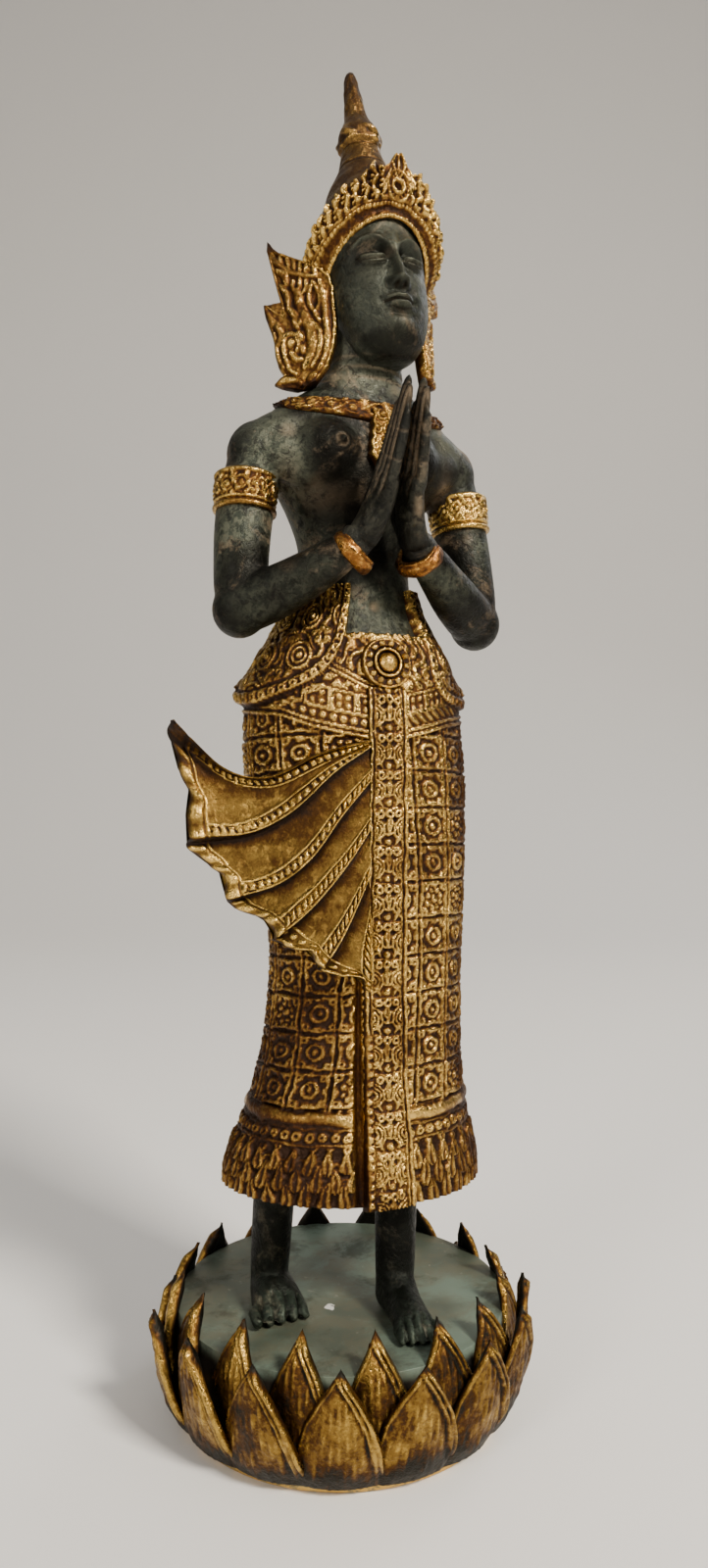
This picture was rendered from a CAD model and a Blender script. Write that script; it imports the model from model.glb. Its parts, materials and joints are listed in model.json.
import bpy
import bmesh
import json
import math
import numpy as np
from mathutils import Matrix, Vector

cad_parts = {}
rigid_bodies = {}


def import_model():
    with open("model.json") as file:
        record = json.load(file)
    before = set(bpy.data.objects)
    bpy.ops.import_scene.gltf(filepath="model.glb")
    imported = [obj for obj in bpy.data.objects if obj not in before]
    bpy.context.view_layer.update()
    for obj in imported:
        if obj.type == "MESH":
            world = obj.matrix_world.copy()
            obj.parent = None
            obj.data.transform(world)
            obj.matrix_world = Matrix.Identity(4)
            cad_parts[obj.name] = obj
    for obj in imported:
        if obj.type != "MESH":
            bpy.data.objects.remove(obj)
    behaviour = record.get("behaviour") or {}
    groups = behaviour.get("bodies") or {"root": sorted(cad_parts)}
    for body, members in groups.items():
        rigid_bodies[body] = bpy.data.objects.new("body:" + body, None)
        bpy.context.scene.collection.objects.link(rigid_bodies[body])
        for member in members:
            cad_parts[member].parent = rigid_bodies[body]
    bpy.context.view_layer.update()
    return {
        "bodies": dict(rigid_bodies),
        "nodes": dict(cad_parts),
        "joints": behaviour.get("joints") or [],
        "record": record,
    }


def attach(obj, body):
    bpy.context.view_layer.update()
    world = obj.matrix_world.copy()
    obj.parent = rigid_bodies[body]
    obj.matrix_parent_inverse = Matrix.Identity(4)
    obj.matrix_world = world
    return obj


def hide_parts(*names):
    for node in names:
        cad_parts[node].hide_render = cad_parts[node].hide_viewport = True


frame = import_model()
mm = 0.001
fullTurn = 2 * math.pi
bodyX = 0.3
bodyY = -5.5

# Curves and patterns, in mm.


def through(rows):
    # a smooth curve through rows of [x, value, value, ...]
    rows = np.array(rows, float)
    xs, ys = rows[:, 0], rows[:, 1:]
    slopes = np.empty_like(ys)
    slopes[1:-1] = (ys[2:] - ys[:-2]) / (xs[2:] - xs[:-2])[:, None]
    slopes[0] = (ys[1] - ys[0]) / (xs[1] - xs[0])
    slopes[-1] = (ys[-1] - ys[-2]) / (xs[-1] - xs[-2])

    def at(x):
        x = np.clip(np.asarray(x, float), xs[0], xs[-1])
        i = np.clip(np.searchsorted(xs, x, "right") - 1, 0, len(xs) - 2)
        span = (xs[i + 1] - xs[i])[..., None]
        t = (x - xs[i])[..., None] / span
        out = (2 * t**3 - 3 * t**2 + 1) * ys[i] + (t**3 - 2 * t**2 + t) * span * slopes[i]
        out += (3 * t**2 - 2 * t**3) * ys[i + 1] + (t**3 - t**2) * span * slopes[i + 1]
        return np.moveaxis(out, -1, 0)

    return at


def evenly(points):
    # a smooth curve through points, by the share from the first to the last
    return through([[i / (len(points) - 1), *point] for i, point in enumerate(points)])


def splineThrough(points, steps):
    return evenly(points)(np.linspace(0, 1, steps))


def unit(value):
    # kept between 0 and 1
    return np.clip(value, 0, 1)


def smooth(x, low, high):
    t = unit((x - low) / (high - low))
    return t * t * (3 - 2 * t)


def bell(value, centre, width):
    return np.exp(-(((value - centre) / width) ** 2))


def spots(x, z, rows):
    # the sum of soft round spots, rows of [height, x, width, z, width]
    return sum(tall * bell(x, atX, wideX) * bell(z, atZ, wideZ) for tall, atX, wideX, atZ, wideZ in rows)


def middleOf(value, pitch):
    # how far a place is from the middle of its step of a repeat
    return np.mod(value, pitch) - pitch / 2


def wobble(x, y, seed=0.0):
    # slow uneven waves between -1 and 1, like a hand-cut pattern's drift
    a = np.sin(x * 0.83 + y * 0.41 + seed * 1.7) + np.sin(x * -0.47 + y * 0.97 + seed * 2.3)
    b = np.sin(x * 1.71 + y * 1.13 + seed * 3.1) + np.sin(x * 1.39 - y * 1.83 + seed * 0.9)
    return a * 0.34 + b * 0.16


def cellNoise(x, y, seed=0.0):
    # one steady number from 0 to 1 for each whole-numbered cell
    return np.mod(np.sin(np.round(x) * 12.9898 + np.round(y) * 78.233 + seed) * 43758.5453, 1.0)


def blurred(height, size):
    # the average of each point's neighbourhood, by running sums along both ways of the grid
    out = height
    for axis in (0, 1):
        width = [(0, 0), (0, 0)]
        width[axis] = (size + 1, size)
        padded = np.cumsum(np.pad(out, width, mode="edge"), axis=axis)
        n = out.shape[axis]
        high = np.take(padded, np.arange(2 * size + 1, n + 2 * size + 1), axis=axis)
        low = np.take(padded, np.arange(0, n), axis=axis)
        out = (high - low) / (2 * size + 1)
    return out


def recessOf(height, size, depth):
    # 1 in the hollows of a relief, 0 on its tops
    return unit((blurred(height, size) - height) / depth + 0.3)


def ridge(d, w, h):
    # a rounded line, where d is the distance from its middle
    return h * np.sqrt(unit(1 - (d / w) ** 2))


def dome(x, y, r, h):
    return ridge(np.hypot(x, y), r, h)


def hoop(x, y, r, w, h):
    return ridge(np.hypot(x, y) - r, w, h)


def leaf(x, y, length, width, h, bend=0.0, rib=0.45):
    # a pointed leaf from (0, 0) up +y, with a sunk rib, whose tip bends sideways
    t = unit(y / length)
    half = width * unit(np.sin(np.pi * t**0.62)) ** 0.85 + 1e-6
    d = (x - bend * t * t) / half
    return np.where((y > 0) & (y < length), ridge(d, 1, h) * (1 - rib * bell(d, 0, 0.3)), 0)


def handCut(x, y, drift=0.3, seed=0.0):
    # the same place shifted a little, so that a repeated pattern looks cut by hand
    dx = drift * (wobble(x * 0.9, y * 0.8, 1 + seed) + 0.5 * wobble(x * 2.6, y * 2.3, 4 + seed))
    dy = drift * (wobble(x * 0.8, y * 0.9, 5 + seed) + 0.5 * wobble(x * 2.4, y * 2.7, 8 + seed))
    return x + dx, y + dy


def stroke(x, y, path, w, h):
    # a rounded stroke along a path of points, thinner at its two ends
    points = np.array(splineThrough(path, 5 * len(path))).T
    lengths = np.hypot(*np.diff(points, axis=0).T)
    total, start, out = lengths.sum(), 0.0, 0 * x
    for (ax, ay), (bx, by), length in zip(points[:-1], points[1:], lengths):
        dx, dy = (bx - ax) / length, (by - ay) / length
        along = np.clip((x - ax) * dx + (y - ay) * dy, 0, length)
        off = np.hypot(x - ax - along * dx, y - ay - along * dy)
        share = (start + along) / total
        half = w * (0.55 + 0.45 * np.sqrt(unit(4 * share * (1 - share))))
        out = np.maximum(out, ridge(off, half, h))
        start += length
    return out


def most(*heights):
    out = heights[0]
    for other in heights[1:]:
        out = np.maximum(out, other)
    return out


def oval(theta, half, front, back, cx, cy):
    # a place on an oval section, by the turn from the front; its depth differs before and behind
    depth = np.where(np.cos(theta) > 0, front, back)
    return cx + np.sin(theta) * half, cy - np.cos(theta) * depth


# Meshes.


def linked(name, mesh):
    piece = bpy.data.objects.new(name, mesh)
    bpy.context.collection.objects.link(piece)
    return piece


def closeRim(bm, reach, least):
    # joins the edges of a bent grid where they meet, and drops faces shrunk to nothing
    bmesh.ops.remove_doubles(bm, verts=[vert for vert in bm.verts if vert.is_boundary], dist=reach)
    bmesh.ops.dissolve_degenerate(bm, edges=bm.edges, dist=least)


def gridPiece(name, columns, rows, place, wrap=False, flip=False):
    # a grid bent by place(u, v), which gives arrays x, y, z in mm and the recess from 0 to 1
    bm = bmesh.new()
    bmesh.ops.create_grid(bm, x_segments=columns, y_segments=rows, size=0.5)
    mesh = bpy.data.meshes.new(name)
    bm.to_mesh(mesh)
    flat = np.empty(len(mesh.vertices) * 3)
    mesh.vertices.foreach_get("co", flat)
    flat = flat.reshape(-1, 3)
    order = np.lexsort((flat[:, 0], flat[:, 1]))
    shape = (rows + 1, columns + 1)
    u, v = [(flat[order, axis] + 0.5).reshape(shape) for axis in (0, 1)]
    bent = np.stack([np.broadcast_to(a, shape) for a in place(u, v)], -1).astype(float)
    if wrap:
        bent[:, -1] = bent[:, 0]
    bent = bent.reshape(-1, 4)
    flat[order] = bent[:, :3] * mm
    mesh.vertices.foreach_set("co", flat.ravel())
    values = np.empty(len(mesh.vertices))
    values[order] = bent[:, 3]
    mesh.attributes.new("recess", "FLOAT", "POINT").data.foreach_set("value", values)
    bm.clear()
    bm.from_mesh(mesh)
    closeRim(bm, 2e-6, 1e-7)
    if flip:
        bmesh.ops.reverse_faces(bm, faces=bm.faces)
    for face in bm.faces:
        face.smooth = True
    bm.to_mesh(mesh)
    bm.free()
    return linked(name, mesh)


def addTo(bm, part):
    held = bpy.data.meshes.new("held")
    part.to_mesh(held)
    bm.from_mesh(held)
    part.free()
    bpy.data.meshes.remove(held)


def addTube(bm, sides, steps, place):
    # a closed skin over place(angle, step), which gives a point in mm
    part = bmesh.new()
    bmesh.ops.create_grid(part, x_segments=sides, y_segments=steps, size=0.5)
    for vert in part.verts:
        step = int(round((vert.co.y + 0.5) * steps))
        vert.co = Vector(place(fullTurn * (vert.co.x + 0.5), step)) * mm
    closeRim(part, 1e-6, 1e-8)
    bmesh.ops.recalc_face_normals(part, faces=part.faces)
    addTo(bm, part)


def addLimb(bm, points, sizes, sides, steps, up=(0, 0, 1)):
    # a closed limb along a smooth path, with rows of [share, half width, half height] as sizes
    share = np.linspace(0, 1, steps)
    path = np.array(splineThrough(points, steps)).T
    tangent = np.gradient(path, axis=0)
    tangent /= np.linalg.norm(tangent, axis=1, keepdims=True)
    across = np.cross(np.array(up, float), tangent)
    across /= np.linalg.norm(across, axis=1, keepdims=True)
    rise = np.cross(tangent, across)
    close = np.sqrt(unit(1 - np.abs(2 * share - 1) ** 14))
    wide, high = through(sizes)(share) * close

    def place(a, i):
        return path[i] + across[i] * math.cos(a) * wide[i] + rise[i] * math.sin(a) * high[i]

    addTube(bm, sides, steps - 1, place)


def addBall(bm, centre, radii):
    part = bmesh.new()
    bmesh.ops.create_uvsphere(part, u_segments=24, v_segments=14, radius=1)
    scale = Matrix.Diagonal((*(radius * mm for radius in radii), 1))
    matrix = Matrix.Translation(Vector(centre) * mm) @ scale
    bmesh.ops.transform(part, matrix=matrix, verts=part.verts)
    addTo(bm, part)


def addStack(bm, rows, sides, steps):
    # a closed body of oval sections, rows of [z, half width, front, back, x, y]
    heights = np.linspace(rows[0][0], rows[-1][0], steps + 1)
    half, front, back, cx, cy = through(rows)(heights)
    for sizes in (half, front, back):
        sizes[[0, -1]] = 0

    def place(a, i):
        depth = front[i] if math.cos(a) > 0 else back[i]
        return cx[i] + math.sin(a) * half[i], cy[i] - math.cos(a) * depth, heights[i]

    addTube(bm, sides, steps, place)


def fuse(name, bm, voxel, rounds):
    # the joined forms as one skin of even small faces, softened in a few rounds
    mesh = bpy.data.meshes.new(name)
    bm.to_mesh(mesh)
    bm.free()
    rough = linked(name + "Rough", mesh)
    remesh = rough.modifiers.new("fuse", "REMESH")
    remesh.mode = "VOXEL"
    remesh.voxel_size = voxel * mm
    remesh.adaptivity = 0
    bpy.context.view_layer.update()
    fused = bpy.data.meshes.new_from_object(rough.evaluated_get(bpy.context.evaluated_depsgraph_get()))
    fused.name = name
    bpy.data.objects.remove(rough)
    bpy.data.meshes.remove(mesh)
    work = bmesh.new()
    work.from_mesh(fused)
    axes = {"use_axis_x": True, "use_axis_y": True, "use_axis_z": True}
    for _ in range(rounds):
        bmesh.ops.smooth_vert(work, verts=work.verts, factor=0.5, **axes)
    for face in work.faces:
        face.smooth = True
    work.to_mesh(fused)
    work.free()
    return linked(name, fused)


def pointsOf(piece):
    # the places of the vertices in mm, and their normals
    found = []
    for label in ("co", "normal"):
        flat = np.empty(len(piece.data.vertices) * 3)
        piece.data.vertices.foreach_get(label, flat)
        found.append(flat.reshape(-1, 3))
    return found[0] / mm, found[1]


def setPoints(piece, points, **values):
    # moves the vertices, and writes each named value between 0 and 1 into a point attribute
    piece.data.vertices.foreach_set("co", (points * mm).ravel())
    for name, value in values.items():
        held = piece.data.attributes.new(name, "FLOAT", "POINT")
        held.data.foreach_set("value", unit(value))
    piece.data.update()


def settle(piece, material, node):
    piece.data.materials.clear()
    piece.data.materials.append(material)
    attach(piece, "root")
    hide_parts(node)
    print(piece.name, len(piece.data.polygons), "faces")


# Materials.


def feed(tree, socket, value):
    # a term is linked to the socket, and a number or a colour is set on it
    if isinstance(value, Term):
        tree.links.new(value.socket, socket)
    elif isinstance(value, tuple):
        socket.default_value = (*value, 1)
    else:
        socket.default_value = value


class Term:
    # a value in a node tree, on which arithmetic adds nodes
    def __init__(self, tree, socket):
        self.tree = tree
        self.socket = socket

    def reckon(self, operation, a, b):
        node = self.tree.nodes.new("ShaderNodeMath")
        node.operation = operation
        feed(self.tree, node.inputs[0], a)
        feed(self.tree, node.inputs[1], b)
        return Term(self.tree, node.outputs[0])

    def __add__(self, other):
        return self.reckon("ADD", self, other)

    def __sub__(self, other):
        return self.reckon("SUBTRACT", self, other)

    def __rsub__(self, other):
        return self.reckon("SUBTRACT", other, self)

    def __mul__(self, other):
        return self.reckon("MULTIPLY", self, other)

    def atLeast(self, other):
        return self.reckon("MAXIMUM", self, other)

    def clamped(self):
        # the last sum kept between 0 and 1
        self.socket.node.use_clamp = True
        return self

    def step(self, low, high):
        # rises softly from 0 at low to 1 at high
        node = self.tree.nodes.new("ShaderNodeMapRange")
        node.interpolation_type = "SMOOTHSTEP"
        for label, value in (("From Min", low), ("From Max", high), ("Value", self)):
            feed(self.tree, node.inputs[label], value)
        return Term(self.tree, node.outputs["Result"])

    def mix(self, a, b):
        # colour a where this is 0, and b where it is 1
        node = self.tree.nodes.new("ShaderNodeMix")
        node.data_type = "RGBA"
        colours = [socket for socket in node.inputs if socket.type == "RGBA"]
        for socket, value in zip((node.inputs["Factor"], *colours), (self, a, b)):
            feed(self.tree, socket, value)
        return Term(self.tree, [socket for socket in node.outputs if socket.type == "RGBA"][0])

    def noise(self, scale, detail, roughness, distortion=0.0):
        node = self.tree.nodes.new("ShaderNodeTexNoise")
        settings = {
            "Vector": self, "Scale": scale, "Detail": detail,
            "Roughness": roughness, "Distortion": distortion,
        }
        for label, value in settings.items():
            feed(self.tree, node.inputs[label], value)
        return Term(self.tree, node.outputs["Fac"])

    def bump(self, strength, distance):
        node = self.tree.nodes.new("ShaderNodeBump")
        for label, value in (("Strength", strength), ("Distance", distance), ("Height", self)):
            feed(self.tree, node.inputs[label], value)
        return Term(self.tree, node.outputs[0])

    def height(self):
        node = self.tree.nodes.new("ShaderNodeSeparateXYZ")
        feed(self.tree, node.inputs[0], self)
        return Term(self.tree, node.outputs["Z"])

    def distance(self, place):
        node = self.tree.nodes.new("ShaderNodeVectorMath")
        node.operation = "DISTANCE"
        feed(self.tree, node.inputs[0], self)
        node.inputs[1].default_value = place
        return Term(self.tree, node.outputs["Value"])


def attributeOf(tree, name):
    node = tree.nodes.new("ShaderNodeAttribute")
    node.attribute_name = name
    return Term(tree, node.outputs["Fac"])


wearSteps = {
    # noise settings, and where the mask starts and is full
    "Blotch": [(42, 3, 0.55), (0.38, 0.64)],
    "Patch": [(170, 5, 0.65, 0.4), (0.42, 0.62)],
    "Mottle": [(620, 4, 0.7, 0.3), (0.4, 0.62)],
    "Speck": [(720, 2, 0.5), (0.62, 0.72)],
}


def wearGroup():
    # masks that every finish shares: slow blotches, mid patches, small mottles, specks and a fine grain
    group = bpy.data.node_groups.new("wearAndGrain", "ShaderNodeTree")
    group.interface.new_socket(name="Vector", in_out="INPUT", socket_type="NodeSocketVector")
    coords = Term(group, group.nodes.new("NodeGroupInput").outputs["Vector"])
    masks = {name: coords.noise(*noise).step(*reach) for name, (noise, reach) in wearSteps.items()}
    masks["Grain"] = coords.noise(1900, 3, 0.7)
    for name in masks:
        group.interface.new_socket(name=name, in_out="OUTPUT", socket_type="NodeSocketFloat")
    end = group.nodes.new("NodeGroupOutput")
    for name, mask in masks.items():
        feed(group, end.inputs[name], mask)
    return group


wearMasks = wearGroup()


def finishMaterial(name, build):
    # build(coords, wear, recess) gives a value for each named socket of the shader
    material = bpy.data.materials.new(name)
    material.use_nodes = True
    tree = material.node_tree
    tree.nodes.clear()
    shader = tree.nodes.new("ShaderNodeBsdfPrincipled")
    out = tree.nodes.new("ShaderNodeOutputMaterial")
    tree.links.new(shader.outputs[0], out.inputs[0])
    coords = Term(tree, tree.nodes.new("ShaderNodeTexCoord").outputs["Object"])
    group = tree.nodes.new("ShaderNodeGroup")
    group.node_tree = wearMasks
    feed(tree, group.inputs["Vector"], coords)
    wear = {socket.name: Term(tree, socket) for socket in group.outputs}
    for label, value in build(coords, wear, attributeOf(tree, "recess")).items():
        feed(tree, shader.inputs[label], value)
    return material


def coloursOf(names, *colours):
    return dict(zip(names, colours))


giltNames = ("bright", "deep", "lacquer", "dark")
gildingLook = coloursOf(
    giltNames, (0.65, 0.42, 0.108), (0.215, 0.114, 0.028), (0.078, 0.03, 0.009), (0.022, 0.008, 0.002)
)
dullLook = coloursOf(
    giltNames, (0.34, 0.2, 0.055), (0.15, 0.083, 0.026), (0.07, 0.034, 0.012), (0.022, 0.013, 0.007)
)
copperLook = coloursOf(
    giltNames, (0.56, 0.3, 0.07), (0.22, 0.09, 0.022), (0.07, 0.026, 0.01), (0.012, 0.008, 0.005)
)
sashLook = coloursOf(
    giltNames, (0.68, 0.44, 0.11), (0.2, 0.118, 0.027), (0.075, 0.033, 0.009), (0.018, 0.008, 0.003)
)
petalLook = coloursOf(
    giltNames, (0.51, 0.33, 0.08), (0.22, 0.125, 0.026), (0.085, 0.036, 0.01), (0.011, 0.009, 0.005)
)
skinNames = ("black", "green", "rubbed", "dust")
skinLook = coloursOf(
    skinNames, (0.005, 0.0045, 0.003), (0.034, 0.041, 0.029), (0.14, 0.145, 0.1), (0.3, 0.21, 0.125)
)
handLook = coloursOf(
    skinNames, (0.004, 0.004, 0.003), (0.022, 0.023, 0.017), (0.09, 0.085, 0.06), (0.36, 0.26, 0.16)
)
legLook = coloursOf(
    skinNames, (0.004, 0.004, 0.003), (0.014, 0.017, 0.012), (0.05, 0.07, 0.05), (0.2, 0.17, 0.11)
)


def gildingWith(look, wornMore, patchy=1.0):
    # bright gilding on the tops, deeper below them, then brown lacquer, then black in the hollows
    def build(coords, wear, recess):
        depth = recess + wornMore
        for name, share in (("Grain", 0.45), ("Mottle", 0.14), ("Patch", 0.12), ("Blotch", 0.2)):
            depth = depth + (wear[name] - 0.5) * (share * patchy)
        gold = depth.step(-0.02, 0.34).mix(look["bright"], look["deep"])
        colour = depth.step(0.3, 0.56).mix(gold, look["lacquer"])
        pit = depth.step(0.48, 0.8)
        colour = pit.mix(colour, look["dark"])
        lumps = wear["Grain"] * 0.6 + wear["Mottle"] * 0.5
        return {
            "Base Color": (wear["Speck"] * 0.4).mix(colour, look["lacquer"]),
            "Metallic": 1.0 - pit * 0.25,
            "Roughness": wear["Mottle"] * 0.1 + 0.2 + depth.step(0.1, 0.6) * 0.26,
            "Normal": lumps.bump(0.55, 0.0003),
        }

    return build


def skinWith(look, darker=0.0, contrast=1.0):
    # near-black bronze, rubbed grey-green on the open surfaces, with tan dust in the hollows
    def build(coords, wear, recess):
        grime = attributeOf(coords.tree, "grime")
        clean = (1.0 - grime).clamped()
        body = wear["Blotch"] * (0.7 * contrast) + wear["Patch"] * (0.4 * contrast) + 0.62 * (1 - contrast)
        body = (body - darker).clamped() * clean
        colour = body.mix(look["black"], look["green"])
        rubbed = wear["Mottle"] * wear["Blotch"] * ((0.6 - darker) * contrast) * clean
        raised = attributeOf(coords.tree, "rubbed") * (wear["Grain"] + 0.3)
        colour = rubbed.atLeast(raised * 0.6).mix(colour, look["rubbed"])
        dusty = coords.noise(90, 6, 0.78, 0.6).step(0.54, 0.68) * (0.5 * contrast)
        dusty = dusty.atLeast(recess * 0.6) * (wear["Grain"] + 0.35) * (clean * 0.6 + 0.4)
        colour = dusty.mix(colour, look["dust"])
        crack = coords.noise(330, 5, 0.75, 1.2).step(0.53, 0.6)
        for darkMask in (crack * (0.75 * contrast), wear["Speck"] * 0.5):
            colour = darkMask.mix(colour, look["black"])
        return {
            "Base Color": colour,
            "Specular IOR Level": 0.3,
            # a black metal mirrors less than a black paint, so the grimy parts stay metal
            "Metallic": (grime * 0.4 + 0.45 - dusty * 0.7).clamped(),
            "Roughness": wear["Mottle"] * 0.16 + 0.38 + dusty * 0.3,
            "Normal": (wear["Grain"] + wear["Mottle"] * 0.6).bump(0.6, 0.0002),
        }

    return build


chipPlace = (-0.0052, -0.00705, 0.0222)


def platformLook(coords, wear, recess):
    # mottled verdigris with brown patches, pale bloom, dark smudges, light flecks and one white chip
    smudge = coords.noise(62, 8, 0.7, 0.25).step(0.5, 0.64)
    layers = [
        (wear["Patch"] * 0.45, (0.12, 0.105, 0.06)),
        (coords.noise(38, 8, 0.66, 0.2).step(0.47, 0.6) * 0.8, (0.15, 0.21, 0.165)),
        (smudge * 0.62, (0.042, 0.042, 0.028)),
        (coords.noise(420, 3, 0.6, 0.4).step(0.66, 0.74) * 0.5, (0.26, 0.27, 0.21)),
    ]
    # the recess value is 1 on the bowl's dark wall and 0 on its gilded rim line
    layers.append((recess.step(0.9, 1.0) * coords.height().step(0.0215, 0.0195), (0.016, 0.011, 0.006)))
    fuzzy = recess + (wear["Grain"] - 0.5) * 0.6
    rim = (1.0 - fuzzy.step(0.45, 0.8)) * wear["Mottle"].step(-0.3, 0.6)
    layers.append((rim, gildingLook["bright"]))
    ragged = coords.noise(620, 2, 0.5, 0.3) * 0.003
    layers.append(((coords.distance(chipPlace) + ragged).step(0.0028, 0.0025), (0.75, 0.74, 0.7)))
    colour = wear["Blotch"].mix((0.07, 0.085, 0.06), (0.14, 0.17, 0.125))
    for mask, over in layers:
        colour = mask.mix(colour, over)
    return {
        "Base Color": colour,
        "Metallic": rim * 0.65 + 0.3,
        "Roughness": smudge * 0.2 + 0.5,
        "Normal": wear["Grain"].bump(0.15, 0.0001),
    }


gilding = finishMaterial("wornGilding", gildingWith(gildingLook, 0.05))
brightGilding = finishMaterial("brightGilding", gildingWith(gildingLook, -0.06))
copperGilding = finishMaterial("copperGilding", gildingWith(copperLook, 0.08))
dullGilding = finishMaterial("dullGilding", gildingWith(dullLook, 0.04))
sashGilding = finishMaterial("sashGilding", gildingWith(sashLook, 0.03, 0.6))
petalGilding = finishMaterial("petalGilding", gildingWith(petalLook, 0.15))
darkSkin = finishMaterial("darkGreenBronze", skinWith(skinLook))
faceSkin = finishMaterial("faceBronze", skinWith(skinLook, 0.0, 0.6))
handSkin = finishMaterial("handBronze", skinWith(handLook, 0.1))
legSkin = finishMaterial("legBronze", skinWith(legLook, 0.1))
verdigris = finishMaterial("verdigris", platformLook)
print("materials made")

# The skirt, its hem border and the hip cloth.

skirt = {
    "hem": 49.2,
    "borderTop": 67.2,
    "beltLine": 141.0,
    "top": 171.0,
    "squareColumns": 14,
    "rowPitch": 7.35,
    "firstRow": 133.7,
    "panelHalf": 4.5,
    "columns": 340,
    "hemTilt": 1.2,
}
skirtRows = [
    [skirt["hem"], 26.9, 20, 19, 0.3, bodyY],
    [53, 26.6, 19.8, 18.8, 0.3, bodyY],
    [58, 25.3, 19.2, 18, 0.6, bodyY],
    [67.5, 22.7, 18, 16.8, 1.6, bodyY],
    [78, 21.1, 17.4, 16, 2.6, bodyY],
    [93, 20.3, 17.2, 15.8, 3.4, bodyY],
    [108, 21.2, 17.6, 16.4, 3.2, bodyY],
    [121, 22.6, 18, 17.2, 2.2, bodyY],
    [135, 23.4, 18.2, 17.8, 1, bodyY],
    [147, 22.6, 17.8, 17.4, 0.3, bodyY],
    [156, 19.8, 16.4, 15.8, 0.3, bodyY],
    [161, 16.8, 14.8, 14, 0.3, bodyY],
    [166, 14.2, 12.6, 11.8, 0.4, bodyY],
    [171, 12.6, 10.6, 10.2, 0.5, bodyY],
]
skirtAt = through(skirtRows)


def skirtBase(theta, z):
    return *oval(theta, *skirtAt(z)), z + 0 * theta


def skirtNormal(theta, z):
    turnStep, rise = 0.02, 0.5
    a = np.stack(skirtBase(theta + turnStep, z), -1) - np.stack(skirtBase(theta - turnStep, z), -1)
    b = np.stack(skirtBase(theta, z + rise), -1) - np.stack(skirtBase(theta, z - rise), -1)
    n = np.cross(a, b)
    return np.moveaxis(n / (np.linalg.norm(n, axis=-1, keepdims=True) + 1e-12), -1, 0)


# the girth in mm round the skirt's middle, from the front both ways
turnTable = np.linspace(-math.pi, math.pi, 721)
girthX, girthY = np.sin(turnTable) * 22, -np.cos(turnTable) * 17.4
girthTable = np.concatenate([[0], np.cumsum(np.hypot(np.diff(girthX), np.diff(girthY)))])
girthTable -= girthTable[360]


def girthOf(theta):
    return np.interp(theta, turnTable, girthTable)


def squareRelief(x, y, cell):
    # one square of the skirt's pattern: a ringed boss, with drilled rings in the corners
    ax, ay = np.abs(x), np.abs(y)
    off, around = np.hypot(x, y), np.arctan2(y, x)
    ring = most(hoop(x, y, 1.45 + 0.35 * cell, 0.46, 0.85), dome(x, y, 0.72, 0.85))
    petal = dome(2 * middleOf(around, math.pi / 4), off - 1.9, 0.66, 0.75)
    middle = np.where(cell > 0.84, most(petal, dome(x, y, 0.95, 0.9)), ring)
    corner = hoop(ax - 2.72, ay - 2.62, 0.6, 0.42, 0.72)
    points = [leaf(a - low, b + 1.2, 2.4, 0.42, 0.5, 0, 0) for a, b, low in ((ax, ay, 2.9), (ay, ax, 2.8))]
    return most(middle, corner, *points)


def patternBody(g, z, theta):
    # the squared field of the skirt, laid out from the front panel round to the back
    rowPitch = skirt["rowPitch"]
    pitch = (girthTable[-1] - skirt["panelHalf"]) / (skirt["squareColumns"] / 2)
    out = np.abs(g) - skirt["panelHalf"]
    column = np.floor(out / pitch)
    x = (out - (column + 0.5) * pitch) * np.sign(g)
    # the rows hang a little lower at the back
    down = skirt["firstRow"] - z + 1.1 * (np.cos(theta) - 1)
    row = np.floor(down / rowPitch)
    y = down - (row + 0.5) * rowPitch
    rough = 0.24 + 0.14 * smooth(-theta, 0.0, 0.5) * (1 - smooth(z, 95, 125))
    driftX, driftY = handCut(g, z, 1.0)
    x, y = x + rough * (driftX - g), rough * (driftY - z) - y
    cell = cellNoise(column + 20 * np.sign(g), row, 3)
    h = squareRelief(x * 8.0 / pitch, y * 8.0 / rowPitch, cell)
    fromColumn, fromRow = pitch / 2 - np.abs(x), rowPitch / 2 - np.abs(y)
    frames = most(ridge(fromColumn - 0.58, 0.36, 0.8), ridge(fromRow - 0.6, 0.38, 0.8))
    grooves = 0.3 * most(bell(fromColumn, 0, 0.24), bell(fromRow, 0, 0.26))
    lumps = 0.14 * wobble(g * 3.1, z * 2.9, 6) + 0.1 * wobble(g * 5.3, z * 5.9, 2)
    return most(h, frames) * (0.85 + 0.3 * (cell - 0.5)) + lumps - grooves


def beadRow(g, d, pitch, r, h):
    return dome(middleOf(g, pitch), d, r, h)


hemLeaves = {
    # rows of foot height, length and shift in pitches
    "rows": [[48.3, 5.8, 0.0], [51.9, 5.3, 0.5], [55.4, 4.8, 0.0]],
    "pitch": 3.1,
    "bandFoot": 60.3,
}


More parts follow.
